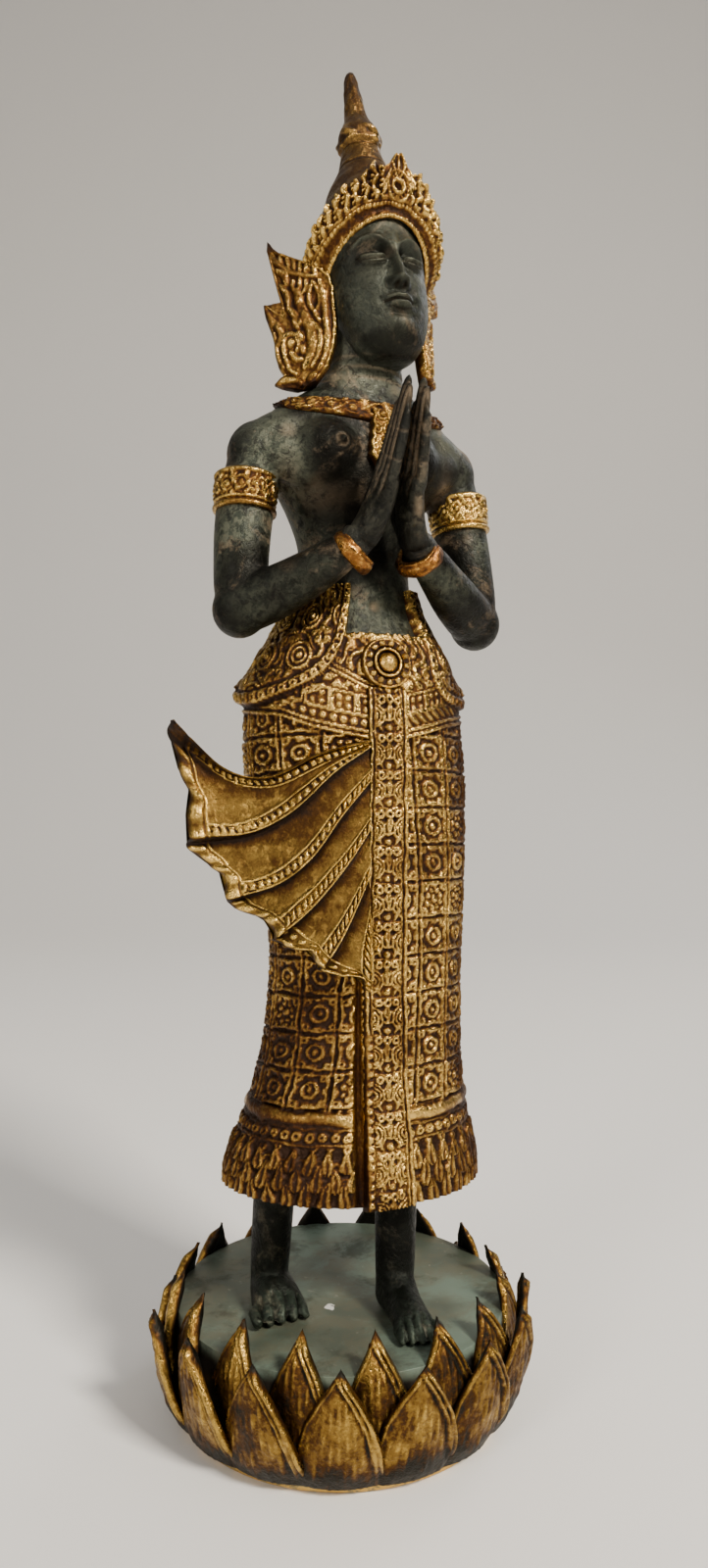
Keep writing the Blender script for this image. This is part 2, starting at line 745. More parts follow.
def hemBorder(g, z):
    # from the top: a plain roll, a beaded band between lines, and three rows of pointed leaves
    x, y = handCut(g, z, 0.3)
    roll = ridge(y - 65.6, 1.35, 1.1)
    lines = most(ridge(y - 63.8, 0.34, 0.6), ridge(y - 60.8, 0.34, 0.6))
    beads = most(hoop(middleOf(x, 2.3), y - 62.3, 0.62, 0.42, 0.85), lines)
    pitch = hemLeaves["pitch"]
    leaves = beadRow(x, y - 49.2, 1.55, 0.75, 0.8)
    for foot, tall, shift in hemLeaves["rows"]:
        along = x + shift * pitch
        place = middleOf(along, pitch)
        which = cellNoise(np.floor(along / pitch), foot + 0 * y, 5)
        length = tall * (0.85 + 0.3 * which)
        petal = leaf(place + 0.25 * (which - 0.5), y - foot, length, 1.25, 1.5, which - 0.5, 0.55)
        leaves = most(leaves, petal, hoop(place, y - foot - length - 0.1, 0.52, 0.36, 0.75))
    leaves = leaves + 0.14 * wobble(g * 4.1, z * 3.3, 3)
    return np.where(y > hemLeaves["bandFoot"], most(roll, beads), leaves)


def sideFold(theta, x, z):
    # the deep fold beside the front panel, on the figure's right
    centre = -4.75 - 0.02 * (95 - z)
    width = np.interp(z, [46, 70, 90, 136], [1.25, 0.85, 0.6, 0.5])
    deep = np.interp(z, [46, 90, 128, 138], [1.7, 1.0, 0.6, 0.0])
    return np.where(np.cos(theta) > 0, deep * bell(x, centre, width), 0)


hip = {
    # rows of [turn from the front in radians, height], from the waist round to the back
    "right": [
        [-0.36, 171.5], [-0.4, 165], [-0.42, 160.5], [-0.5, 155.2], [-0.66, 151.6], [-0.87, 149.3],
        [-1.1, 147.7], [-1.4, 146.6], [-1.8, 147.2], [-2.4, 148.4], [-3.2, 148.8],
    ],
    "left": [
        [0.7, 171.5], [0.66, 163], [0.58, 157], [0.55, 152.6], [0.63, 149], [0.8, 147.2], [1.2, 146.4],
        [1.8, 147.2], [2.4, 148.4], [3.2, 148.8],
    ],
    "beltInner": [[-0.66, 154.6], [-0.55, 153.6], [-0.41, 152.2], [-0.16, 149.6], [0.1, 149.2]],
    "beltLow": [
        [-3.2, 147], [-1.5, 145.6], [-0.97, 144.5], [-0.67, 142.3], [-0.38, 140.8], [-0.2, 140], [0.12, 140],
        [0.41, 141.5], [0.67, 142.8], [1.2, 144], [3.2, 147],
    ],
    "bellyLow": 161.0,
    "borderWide": 2.2,
}


def beltLowAt(theta):
    return np.interp(theta, *zip(*hip["beltLow"]))


def alongPath(g, z, path):
    # the nearest point of a smooth path: how far off it is, signed, and how far along the path
    points = np.array(splineThrough([[float(girthOf(a)), b] for a, b in path], 4 * len(path))).T
    best, side, run, start = np.full(g.shape, 1e9), np.zeros(g.shape), np.zeros(g.shape), 0.0
    for (ax, az), (bx, bz) in zip(points[:-1], points[1:]):
        dx, dz = bx - ax, bz - az
        length = math.hypot(dx, dz)
        share = unit(((g - ax) * dx + (z - az) * dz) / length**2)
        off = np.hypot(g - ax - share * dx, z - az - share * dz)
        closer = off < best
        best = np.where(closer, off, best)
        side = np.where(closer, np.sign(dx * (z - az) - dz * (g - ax)), side)
        run = np.where(closer, start + share * length, run)
        start += length
    return best * side, run


def beadedBand(d, run, wide, pitch):
    # drilled beads between two lines: d is measured across from the band's outer edge
    ring = hoop(middleOf(run, pitch), d - wide / 2, wide * 0.25, wide * 0.17, 0.8)
    return most(ridge(d - 0.26, 0.32, 0.62), ridge(d - wide + 0.24, 0.3, 0.62), ring)


def scrollField(x, y, seed):
    # loose scrollwork: wandering curved strokes with drilled dots between them
    x, y = handCut(x, y, 0.5, seed)
    flow = x * 0.9 + 1.5 * np.sin(y * 0.62 + seed) + 0.8 * np.sin(x * 0.5 + y * 0.9 + seed * 2)
    strokes = ridge(middleOf(flow / 2.6, 1.0), 0.24, 0.75)
    dots = hoop(middleOf(x + 1.4, 2.8), middleOf(y + 1.2, 2.4), 0.5, 0.34, 0.7)
    return most(strokes, dots) + 0.14 * wobble(x * 3.3, y * 3.7, seed)


def lobeField(g, z):
    # rosettes and scrolls on the lobes
    wide, tall = 8.4, 8.0
    x, y = g + 23.5 * np.sign(g), z - 156.0
    x, y = handCut(x - np.round(x / wide) * wide, y - np.round(y / tall) * tall, 0.3, 2)
    corners = hoop(np.abs(x) - 3.3, np.abs(y) - 3.1, 0.55, 0.36, 0.7)
    rosette = most(hoop(x, y, 2.5, 0.4, 0.8), hoop(x, y, 1.35, 0.36, 0.75), dome(x, y, 0.7, 0.8), corners)
    return most(rosette, scrollField(g, z, 1.3) * (np.hypot(x, y) > 3.1) * 0.8)


def underLayer(g, z, theta, near):
    # the layer under the lobes, from the belt up: belt lines, trim, boxes, ringed beads and scrolls
    up = z - beltLowAt(theta)
    inner, _ = alongPath(g, z, hip["beltInner"])
    doubleLine = most(ridge(inner, 0.3, 0.6), ridge(inner - 0.95, 0.26, 0.5)) * (theta < 0.02)
    bx, by = np.abs(middleOf(g + 1.0, 5.0)), np.abs(up - 6.1)
    frame = ridge(np.maximum(bx / 1.15, by) - 1.9, 0.24, 0.5)
    boxes = most(frame, dome(bx - 0.9, by - 0.8, 0.5, 0.5)) * (by < 2.2)
    grain = 0.3 * smooth(wobble(g * 2.2, z * 2.2, 5), 0, 0.6)
    scrolls = most(scrollField(g * 1.1, z * 1.1, 4.0) * 0.7, grain)
    beadZ = middleOf(z, 2.6)
    ringBeads = most(hoop(near - 1.7, beadZ, 0.7, 0.28, 0.6), dome(near - 1.7, beadZ, 0.35, 0.5))
    beaded = (near < 3) & (near > 0.4) & (theta < 0) & (inner < -0.5)
    upper = np.where(beaded, ringBeads, scrolls * (up > 8.6)) * (np.abs(inner - 0.5) > 1.0)
    rope = ridge(up - 3.0, 1.3, 0.6) * (0.62 + 0.38 * np.sin((g + up * 0.9) * 3.3))
    small = most(beadRow(g, up - 2.6, 1.9, 0.75, 0.5), ridge(up - 3.9, 0.2, 0.35))
    trim = np.where(theta > 0, most(rope, ridge(up - 4.6, 0.3, 0.4)), small) * (up > 1.5) * (up < 5)
    belt = most(ridge(up, 0.42, 0.75), ridge(up - 1.2, 0.36, 0.65))
    return 0.5 * smooth(up, -0.5, 0.2) + most(belt, trim, boxes, doubleLine, upper)


def hipRelief(g, z, theta):
    left, leftRun = alongPath(g, z, hip["left"])
    right, rightRun = alongPath(g, z, hip["right"])
    right = -right
    d = np.maximum(left, right)
    run = np.where(left > right, leftRun, rightRun)
    lobe = smooth(d, -0.3, 0.25)
    side = smooth(np.abs(theta), 0.8, 1.5) * (1 - 0.4 * smooth(np.abs(theta), 2.2, 3.1))
    flare = side * 1.9 * bell(z, 149.4, 3.4) * lobe
    wide = hip["borderWide"]
    band = beadedBand(d, run, wide, 2.25) * (d > -0.1) * (d < wide + 0.1)
    field = lobeField(g, z) * smooth(d, wide + 0.2, wide + 0.7)
    lobes = (0.9 + np.where(d < wide + 0.2, band, field)) * lobe + flare
    under = underLayer(g, z, theta, np.where(theta < 0, -right, -left))
    h = np.where(d > -0.3, np.maximum(lobes, under * (1 - lobe)), under)
    # the bare belly shows through between the lobes, above a thin rim
    bellyLow = hip["bellyLow"]
    bare = smooth(z, bellyLow - 0.25, bellyLow + 0.25) * (1 - lobe)
    h = most(h, ridge(z - bellyLow + 0.7, 0.45, 0.6) * (1 - lobe))
    return np.where(bare > 0, h * (1 - bare) - 3.2 * bare, h)


def skirtRelief(theta, z, fold):
    g = girthOf(theta)
    upper = np.where(z < beltLowAt(theta) - 0.5, patternBody(g, z, theta), hipRelief(g, z, theta))
    h = np.where(z < skirt["borderTop"], hemBorder(g, z), upper)
    h = np.where(h > 0, h * (0.86 + 0.14 * wobble(g * 0.6, z * 0.5, 11)), h)
    return h * (1 - smooth(fold, 0.2, 1.0)) - fold


def skirtRecess(theta, z, h, fold):
    # how dark the skirt is: in its hollows, in the fold, at the lower left and at the right edge
    dark = recessOf(h, 4, np.where(z > beltLowAt(theta), 0.55, 0.8))
    dark = dark + 0.1 * wobble(theta * 9, z * 0.23, 4) * smooth(h, 0.1, 0.6)
    dark = dark * (1 - smooth(fold, 0.1, 0.5))
    dark = dark + 0.5 * smooth(fold, 0.2, 1.1) + 0.14 * smooth(fold, 1.2, 2.0)
    shade = smooth(-theta, 0.1, 0.8) * (1 - smooth(z, 95, 130)) * 0.27 + 0.06 * (1 - smooth(z, 56, 66))
    shade = shade + 0.12 * smooth(-theta, 0.5, 1.2) * smooth(z, 140, 150)
    shade = shade + 0.1 * smooth(theta, 0.4, 0.8) + 0.26 * smooth(theta, 0.8, 0.95)
    return unit(unit(dark) + shade * (1 - 0.6 * smooth(np.abs(theta), 1.8, 2.9)))


# rows under the hem, each a step further in, of [inset, lift]
hemLining = [[0.5, -0.35], [1.4, -0.4], [2.3, 0.1], [2.8, 1.2], [3.2, 3.2], [9, 3.4], [60, 3.4]]


def skirtPiece(name, zLow, zHigh, rows, lining=()):
    # the columns stand closer on the front than at the back
    turnShare = np.linspace(0, 1, 2001)
    density = np.where(np.abs(turnShare - 0.5) < 0.3, 1.0, 0.32)
    cumulative = np.concatenate([[0], np.cumsum((density[1:] + density[:-1]) / 2)])
    cumulative /= cumulative[-1]
    extra = len(lining)

    def place(u, v):
        theta = (np.interp(u, cumulative, turnShare) - 0.5) * fullTurn
        step = np.round(v * (rows + extra)) - extra
        z = zLow + (zHigh - zLow) * np.clip(step, 0, None) / rows
        hemTilt = skirt["hemTilt"] * np.clip(-np.sin(theta), -0.6, 1)
        base, n = skirtBase(theta, z), skirtNormal(theta, z)
        fold = sideFold(theta, base[0], z)
        h = skirtRelief(theta, z, fold)
        x, y, zz = [start + normal * h for start, normal in zip(base, n)]
        zz = zz + hemTilt * np.exp(-(z - skirt["hem"]) / 6)
        dark = skirtRecess(theta, z, h, fold)
        for k, (inset, lift) in enumerate(lining):
            row = step == -k - 1
            half, front, back, cx, cy = skirtAt(np.full_like(theta, zLow))
            share = unit(1 - inset / 23)
            inX, inY = oval(theta, half * share, front * share, back * share, cx, cy)
            x, y = np.where(row, inX, x), np.where(row, inY, y)
            zz = np.where(row, zLow + lift + hemTilt * (share > 0), zz)
            dark = np.where(row, 0.75, dark)
        return x, y, zz, dark

    piece = gridPiece(name, skirt["columns"], rows + extra, place, wrap=True)
    settle(piece, gilding, "figure")


skirtPiece("skirtHem", skirt["hem"], skirt["borderTop"], 52, hemLining)
skirtPiece("skirtField", skirt["borderTop"], skirt["beltLine"] - 2, 192)
skirtPiece("hipCloth", skirt["beltLine"] - 2, skirt["top"], 96)

# The front panel.

panel = {"low": 48.0, "high": 150.5, "centre": 0.2, "pitch": 7.4, "proud": 1.0, "columns": 52, "rows": 360}


def skirtFrontY(x, z):
    half, front, _, cx, cy = skirtAt(z)
    share = np.clip(np.abs(x - cx) / half, 0, 0.98)
    return cy - front * np.sqrt(1 - share * share)


def panelRelief(x, z, half):
    # in each step of the pattern: a bar, a hanging leaf between ringed dots, and flames at the sides
    wx, wz = handCut(x, z, 0.22, 3)
    ax, fromRow = np.abs(wx), wz - skirt["firstRow"]
    y = middleOf(fromRow + 100 * panel["pitch"], panel["pitch"])
    row = np.floor(fromRow / panel["pitch"])
    edges = most(ridge(ax - half + 0.4, 0.42, 0.7), ridge(ax - half + 1.3, 0.24, 0.45))
    bar = most(hoop(wx, y - 2.7, 0.6, 0.4, 0.85), hoop(ax - 1.75, y - 2.6, 0.55, 0.38, 0.8))
    bar = most(bar, ridge(y - 3.6, 0.24, 0.45) * (ax < 2.9))
    drop = most(leaf(wx, 1.9 - y, 3.6, 0.8, 0.85, 0, 0.3), hoop(wx, y + 0.2, 1.25, 0.28, 0.6))
    drop = most(drop, dome(wx, y + 2.9, 0.75, 0.85))
    flames = [hoop(ax - 3.1, y + 0.5, radius, 0.28, 0.72) * (ax < 3.1) for radius in (0.75, 1.45, 2.15)]
    flames = most(*flames, leaf(ax - 2.2, -(y + 1.3), 2.2, 0.55, 0.7, -0.9, 0), 0 * x)
    h = most(edges, bar, np.where(ax < half - 1.5, most(drop, flames), 0))
    # the lower part has a beaded edge on the figure's right
    beads = beadRow(z, wx + half - 0.75, 1.75, 0.7, 0.8)
    h = np.where((z < 82) & (wx < -half + 1.5), most(beads, edges * 0.6), h)
    uneven = 0.9 + 0.2 * wobble(z * 0.6, x * 0.7, 2) + 0.15 * np.sin(row * 2.4)
    return h * uneven + 0.1 * wobble(x * 4, z * 4, 1)


def placePanel(u, v):
    z = panel["low"] + (panel["high"] - panel["low"]) * v
    half = np.interp(z, [48, 75, 150], [5.1, 4.3, 4.1])
    skin = 4 / panel["columns"]
    x = (unit((u - skin) / (1 - 2 * skin)) * 2 - 1) * half
    h = panelRelief(x, z, half)
    y = skirtFrontY(panel["centre"] + x, np.clip(z, skirt["hem"], None)) - panel["proud"] - h
    # the sides and ends turn back into the skirt
    sunk = unit(1 - np.minimum(u, 1 - u) / skin)
    end = unit(1 - np.minimum(v, 1 - v) * panel["rows"] / 3)
    y = y + 2.6 * np.maximum(sunk, end)
    return panel["centre"] + x, y, z, unit(recessOf(h, 3, 0.7) + 0.8 * sunk)


frontPanel = gridPiece("frontPanel", panel["columns"], panel["rows"], placePanel)
settle(frontPanel, gilding, "figure")

# The buckle.

buckle = {"centre": (0.3, 154.6), "radius": 5.3, "tilt": 0.18, "beads": 13, "beadRing": 3.95}


def placeBuckle(u, v):
    a, r = u * fullTurn, v * buckle["radius"]
    x, y = r * np.sin(a), r * np.cos(a)
    centreX, centreZ = buckle["centre"]
    b = middleOf(a, fullTurn / buckle["beads"]) * buckle["beadRing"]
    bead = most(dome(b, r - buckle["beadRing"], 0.72, 1.1), hoop(b, r - buckle["beadRing"], 0.95, 0.18, 0.3))
    rings = most(ridge(r - 5.0, 0.3, 0.45), ridge(r - 2.7, 0.42, 0.9), dome(x, y, 2.1, 1.8), bead)
    h = 0.75 * smooth(-r, -5.3, -4.7) + rings
    h = h + 0.06 * wobble(x * 3, y * 3, 2) - 0.35 * bell(r, 3.2, 0.16) - 0.3 * bell(r, 2.2, 0.14)
    dark = unit(recessOf(h, 3, 0.55) - 0.4 * (r < 1.9) + 0.3 * bell(r, 2.25, 0.25))
    c, s = math.cos(buckle["tilt"]), math.sin(buckle["tilt"])
    face = skirtFrontY(np.array(centreX), np.array(centreZ)) - 0.7
    # the rim turns back into the belt
    drop = np.where(v > 0.999, 2.5, 0)
    return centreX + x, face - (h * c - y * s) + drop, centreZ + y * c + h * s, dark


buckleDisc = gridPiece("buckle", columns=104, rows=36, place=placeBuckle, wrap=True, flip=True)
settle(buckleDisc, gilding, "figure")
print("skirt, panel and buckle made")

# The flying sash.

sash = {
    # each fold's upper edge from the panel out to the rim, and the lowest fold's lower edge
    "folds": [
        [[-4.3, 139.5], [-13, 137], [-22, 132.4], [-30, 134.6], [-38.2, 143.8]],
        [[-4.3, 138.2], [-11, 133.2], [-18.5, 125.2], [-26, 121.1], [-35.6, 120.8]],
        [[-4.3, 131.5], [-9.5, 125], [-15, 116.6], [-21, 111.2], [-28.2, 108.8]],
        [[-4.3, 122.3], [-8.3, 116.2], [-12, 111], [-15.7, 106.3], [-20.5, 101.4]],
        [[-4.3, 113.5], [-6.8, 107.9], [-9, 103.1], [-11, 99.6], [-13.4, 96]],
        [[-4.3, 105], [-4.4, 101], [-4.5, 98], [-4.5, 95], [-4.6, 91.5]],
    ],
    "lengths": [38, 36, 32, 24, 15, 10],
    "depth": [
        [-40, -4.2], [-33, -6.5], [-28, -9], [-23, -12.5],
        [-18, -16.6], [-13, -20.2], [-8, -22.8], [-3, -24.2],
    ],
    "thickness": 1.6,
    "step": 0.07,
    "topBand": 2.3,
    "beadPitch": 1.35,
    "frontRows": 240,
    "backRows": 24,
    "turnRows": 3,
    "columns": 132,
}
sashDepthAt = through(sash["depth"])
sashRows = [evenly(row) for row in sash["folds"]]
sashSteps = sash["frontRows"] + sash["backRows"] + 2 * sash["turnRows"]


def sashRelief(along, across, fold, t, spread):
    # beaded bands along each fold's lower edge and along the top edge, and a rolled strip at the rim
    bandWide = np.minimum(2.5, spread * 0.36) + 1e-6
    fromLow, fromTop, fromRim = (1 - t) * spread, across * spread, (1 - along) * 30
    length = along * np.interp(across, range(6), sash["lengths"])
    band = (fromLow < bandWide) & (t > sash["step"])
    topBand = (fromTop < sash["topBand"]) & (across < 0.5)
    d = np.where(topBand, fromTop - sash["topBand"] / 2, fromLow - bandWide / 2)
    wide = np.where(topBand, sash["topBand"], bandWide)
    b = middleOf(length + 0.15 * wobble(length, across * 3, 2), sash["beadPitch"])
    bead = 0.75 * unit(1 - np.maximum(np.abs(b) / 0.55, np.abs(d) / (wide * 0.3)) ** 3)
    lines = ridge(np.abs(d) - wide / 2 + 0.16, 0.26, 0.6)
    fine = np.where(band | topBand, most(bead, lines), 0)
    strip = ridge(fromRim - 1.1, 1.25, 0.8) * (0.8 + 0.2 * np.sin(across * 33)) * (fromRim < 2.4)
    fine = np.where(fromRim < 2.5, strip, most(fine, ridge(fromRim - 2.7, 0.25, 0.35)))
    lowHem = (fold >= 3) & (fromRim < 4.2) & (fromRim > 1.0)
    hemBead = dome(np.mod(across * 6, 1.0) * 1.6 - 0.8, fromRim - 2.5, 0.6, 0.5)
    return np.where(lowHem, most(hemBead, ridge(np.abs(fromRim - 2.5) - 1.4, 0.22, 0.4)), fine)


def sashRecess(along, across, t, x, z, front, fine):
    # dark in the hollows and under each fold's step, and darkest at the top corner
    step = sash["step"]
    stepDark = bell(t, step * 0.6, step * 1.3) * (across > 0.4)
    dark = unit(recessOf(np.where(front, fine, 0), 3, 0.4) * 1.1 - 0.05 + 0.75 * stepDark)
    shade = 0.14 * smooth(0.6 - t, 0, 0.6) + 0.06 * smooth(0.5 - along, 0, 0.4)
    shade = shade + 0.07 * wobble(x * 0.3 + z * 1.4, z * 0.5 - x * 0.9, 6)
    cloth = unit(0.38 + 1.3 * shade + 0.5 * stepDark)
    dark = np.where(fine == 0, cloth, unit(dark + 0.35 * shade))
    dark = unit(dark + 0.55 * bell(across, 0, 0.3) * smooth(along, 0.7, 1))
    return np.where(front, dark, unit(0.35 + 0.35 * shade))


def placeSash(along, v):
    # the front runs down over the five folds, and the back runs up behind them
    frontRows, turnRows, step = sash["frontRows"], sash["turnRows"], sash["step"]
    k = np.round(v * sashSteps)
    front = k <= frontRows
    backShare = unit(1 - (k - frontRows - turnRows) / sash["backRows"])
    across = np.where(front, k / frontRows, backShare) * 5
    fold = np.clip(np.floor(across), 0, 4)
    t = across - fold
    x, z, spread = np.zeros_like(along), np.zeros_like(along), np.zeros_like(along)
    for i, (upper, lower) in enumerate(zip(sashRows[:-1], sashRows[1:])):
        ux, uz = upper(along)
        lx, lz = lower(along)
        found = (ux + (lx - ux) * t, uz + (lz - uz) * t, np.hypot(lx - ux, lz - uz))
        x, z, spread = [np.where(fold == i, new, value) for new, value in zip(found, (x, z, spread))]
    # the outer edge waves in and out
    rim = smooth(along, 0.8, 1.0)
    wave = np.sin(across * fullTurn + 0.6)
    x = x - rim * (wave * 0.9 + 0.35 * np.sin(across * 17))
    z = z - rim * (wave * 0.5 * (across > 0.6) + 0.25 * np.sin(across * 13 + 1))
    fine = sashRelief(along, across, fold, t, spread)
    # each fold drops steeply at its upper edge and swells towards its lower one
    swell = np.where(t < step, 1 - t / step, ((t - step) / (1 - step)) ** 1.5)
    pleat = (0.5 + 2.2 * along) * swell * 1.05 + 0.3 * np.sin(along * 7 + across * 2.1) * along
    creases = 0.25 * np.exp(-along * 3.2) * np.sin(across * 9 + 2 * wobble(across, along, 3))
    y = sashDepthAt(x)[0]
    frontY = y - sash["thickness"] - pleat - fine - creases
    backY = y + np.where(along < 0.35, 2.2, 0) * (1 - along) - pleat * 0.55
    turning = unit(np.minimum(k - frontRows, sashSteps - k) / turnRows)
    mix = np.where(front, 0, turning)
    y = frontY * (1 - mix) + backY * mix + 0.8 * bell(across, 0, 0.25) * smooth(along, 0.86, 1)
    # front and back close on each other at the rim
    shut = smooth(along, 0.985, 1.0) * 0.5 * sash["thickness"]
    return x, y + np.where(front, shut, -shut), z, sashRecess(along, across, t, x, z, front, fine)


settle(gridPiece("flyingSash", sash["columns"], sashSteps, placeSash), sashGilding, "figure")
print("sash made")

# Torso, arms and hands.

torso = {
    "rows": [
        [152, 16, 13, 12, 0.3, -5.5], [156, 18.6, 15.2, 14.6, 0.3, -5.5],
        [161, 15.8, 13.8, 13, 0.3, -5.5], [166, 13.2, 11.7, 11, 0.4, -5.5],
        [171, 12.2, 10.4, 9.8, 0.5, -5.7], [176, 11.9, 9.9, 9, 0.5, -5.8],
        [181, 12.4, 10, 9.2, 0.5, -5.9], [187, 14.8, 11, 10, 0.5, -6],
        [194, 18.8, 11.8, 10.8, 0.5, -6.2], [200, 22, 10.8, 10.2, 0.6, -6.4],
        [204, 21.6, 9.8, 9.6, 0.8, -6.8], [207.5, 18.4, 8.9, 8.9, 1, -7.1],
        [210.5, 13.8, 8.3, 8.4, 1.1, -7.5], [213.5, 10.0, 7.7, 8.0, 1.3, -7.9],
        [216.5, 8.5, 7.2, 7.6, 1.5, -8.4], [221, 8.0, 7.0, 7.4, 1.9, -9.2],
        [226, 7.9, 7.0, 7.4, 2.2, -9.8],
    ],
    "voxel": 0.54,
    # round forms, by place and radii, those at the sides as on the figure's left
    "breast": [(bodyX + 8.4, -12.6, 197.6), (8.0, 6.6, 7.4)],
    "shoulder": [(21.5, -7, 197.6), (6.4, 6.6, 6.9)],
    "elbow": [(26.6, -11, 165.4), (5.5, 5.4, 5.7)],
    "belly": [(bodyX + 0.3, -11.0, 168.5), (8.6, 6.0, 7.6)],
}
shoulder, elbow, wrist = (21.6, -7, 197.6), (26.6, -11, 165.4), (8, -23.8, 176.8)
armLimbs = [
    # paths on the figure's left, sizes as addLimb takes them, steps and the way up
    [[(7, -8.5, 203.4), (15, -8.8, 202.2), (21, -7.6, 198.6)],
     [[0, 5.0, 5.0], [0.5, 5.4, 5.4], [1, 5.8, 5.8]], 22, (0, 0, 1)],
    [[(10, -12, 193), (16.5, -11, 197), (21.5, -7.8, 197)],
     [[0, 4.4, 4.6], [0.5, 4.6, 5.2], [1, 5.0, 5.4]], 22, (0, 0, 1)],
    [[shoulder, (24.8, -8, 184), elbow],
     [[0, 6, 6.2], [0.27, 5.7, 5.8], [0.5, 5.8, 5.9], [0.7, 5.6, 5.8], [0.85, 5.4, 5.6], [1, 5.2, 5.3]],
     34, (0, 1, 0)],
    [[elbow, (17.6, -17.6, 170.2), wrist],
     [[0, 5.2, 5.4], [0.4, 5, 5.2], [0.8, 4.0, 4.2], [1, 3.5, 3.7]], 30, (0, 0, 1)],
]


def onSide(side, p):
    return (p[0] if side > 0 else 2 * bodyX - p[0], p[1], p[2])


def sideName(name, side):
    return name + ("Left" if side > 0 else "Right")


def bodyPiece():
    bm = bmesh.new()
    addStack(bm, torso["rows"], 56, 80)
    for side in (-1, 1):
        for path, sizes, steps, up in armLimbs:
            addLimb(bm, [onSide(side, p) for p in path], sizes, 24, steps, up)
        for part in ("breast", "shoulder", "elbow"):
            place, radii = torso[part]
            addBall(bm, onSide(side, place), radii)
    addBall(bm, *torso["belly"])
    piece = fuse("torsoAndArms", bm, torso["voxel"], 5)
    carveBody(piece)
    return piece


def carveBody(piece):
    p, n = pointsOf(piece)
    x, y, z = p.T
    h, recess = np.zeros(len(p)), np.zeros(len(p))
    fromMiddle = np.abs(x - bodyX)
    for side in (-1, 1):
        # a ringed nipple
        cx = bodyX + side * 7.6
        d = np.hypot(x - cx, z - 199.0)
        ahead = (y < -14) & (np.abs(x - cx) < 6)
        h += np.where(ahead, 0.3 * bell(d, 1.7, 0.4) + 1.5 * bell(d, 0, 0.75), 0)
        recess += np.where(ahead, 0.8 * bell(d, 1.1, 0.3), 0)
    navel = (y < -12) * bell(np.hypot(x - 0.5, z - 166.8), 0, 0.8)
    h -= 0.9 * navel
    recess += navel
    # three creases round the neck
    fromNeck = 10.5 - np.hypot(x - 1.6, y + 8.4)
    for level in (212.6, 214.8, 217.0):
        line = z - level + 0.1 * (y + 8)
        h -= 0.24 * bell(line, 0, 0.36) * (fromNeck > 0)
        recess += 0.6 * bell(line, 0.2, 0.3) * (fromNeck > 0)
    # the spine's furrow, the shoulder blades and the breast bone
    back = y > 0
    h -= back * 0.9 * bell(x, 0.6, 2.2) * smooth(z, 172, 184) * (1 - smooth(z, 203, 210))
    h += back * 0.9 * bell(np.abs(x - 0.6), 8.5, 3.6) * bell(z, 195, 6.5)
    h -= (y < -10) * 0.6 * bell(x, 0.4, 1.4) * bell(z, 197, 6)
    # dust lies under the breasts and under the arms
    recess += 0.4 * smooth(wobble(x * 0.5, z * 0.5, 3), 0.5, 1.0)
    recess += 0.45 * bell(z, 188.6, 2.6) * bell(fromMiddle, 9, 6) * (y < -11)
    recess += 0.5 * bell(fromMiddle, 17.5, 1.8) * bell(z, 187, 7)
    # a pale worn line runs down beside the breast bone
    patchy = smooth(wobble(x, z * 0.6, 7), -0.3, 0.4)
    recess += 0.5 * bell(x, -2.6, 0.9) * (y < -12) * bell(z, 190, 7) * patchy
    # the breast between the arms and the forearms are the darkest
    grime = 0.95 * smooth(-y, 7, 12) * (1 - smooth(fromMiddle, 12, 17))
    grime *= smooth(z, 172, 178) * (1 - smooth(z, 198, 206))
    grime += 0.7 * smooth(-y, 10, 14) * smooth(fromMiddle, 7, 11) * (1 - smooth(z, 175, 181))
    grime *= 0.85 + 0.35 * wobble(x * 0.35, z * 0.35, 8)
    # the throat and the shoulders are rubbed
    patchy = unit(0.8 + 0.5 * wobble(x * 0.7, z * 0.9, 4))
    rubbed = smooth(fromNeck, 0, 1.5) * smooth(z, 209, 212) * patchy
    patchy = smooth(wobble(x * 0.4, z * 0.5, 6), -0.4, 0.5)
    rubbed += 0.7 * smooth(z, 196, 203) * smooth(fromMiddle, 9, 14) * patchy
    setPoints(piece, p + n * h[:, None], recess=recess, rubbed=rubbed, grime=grime)


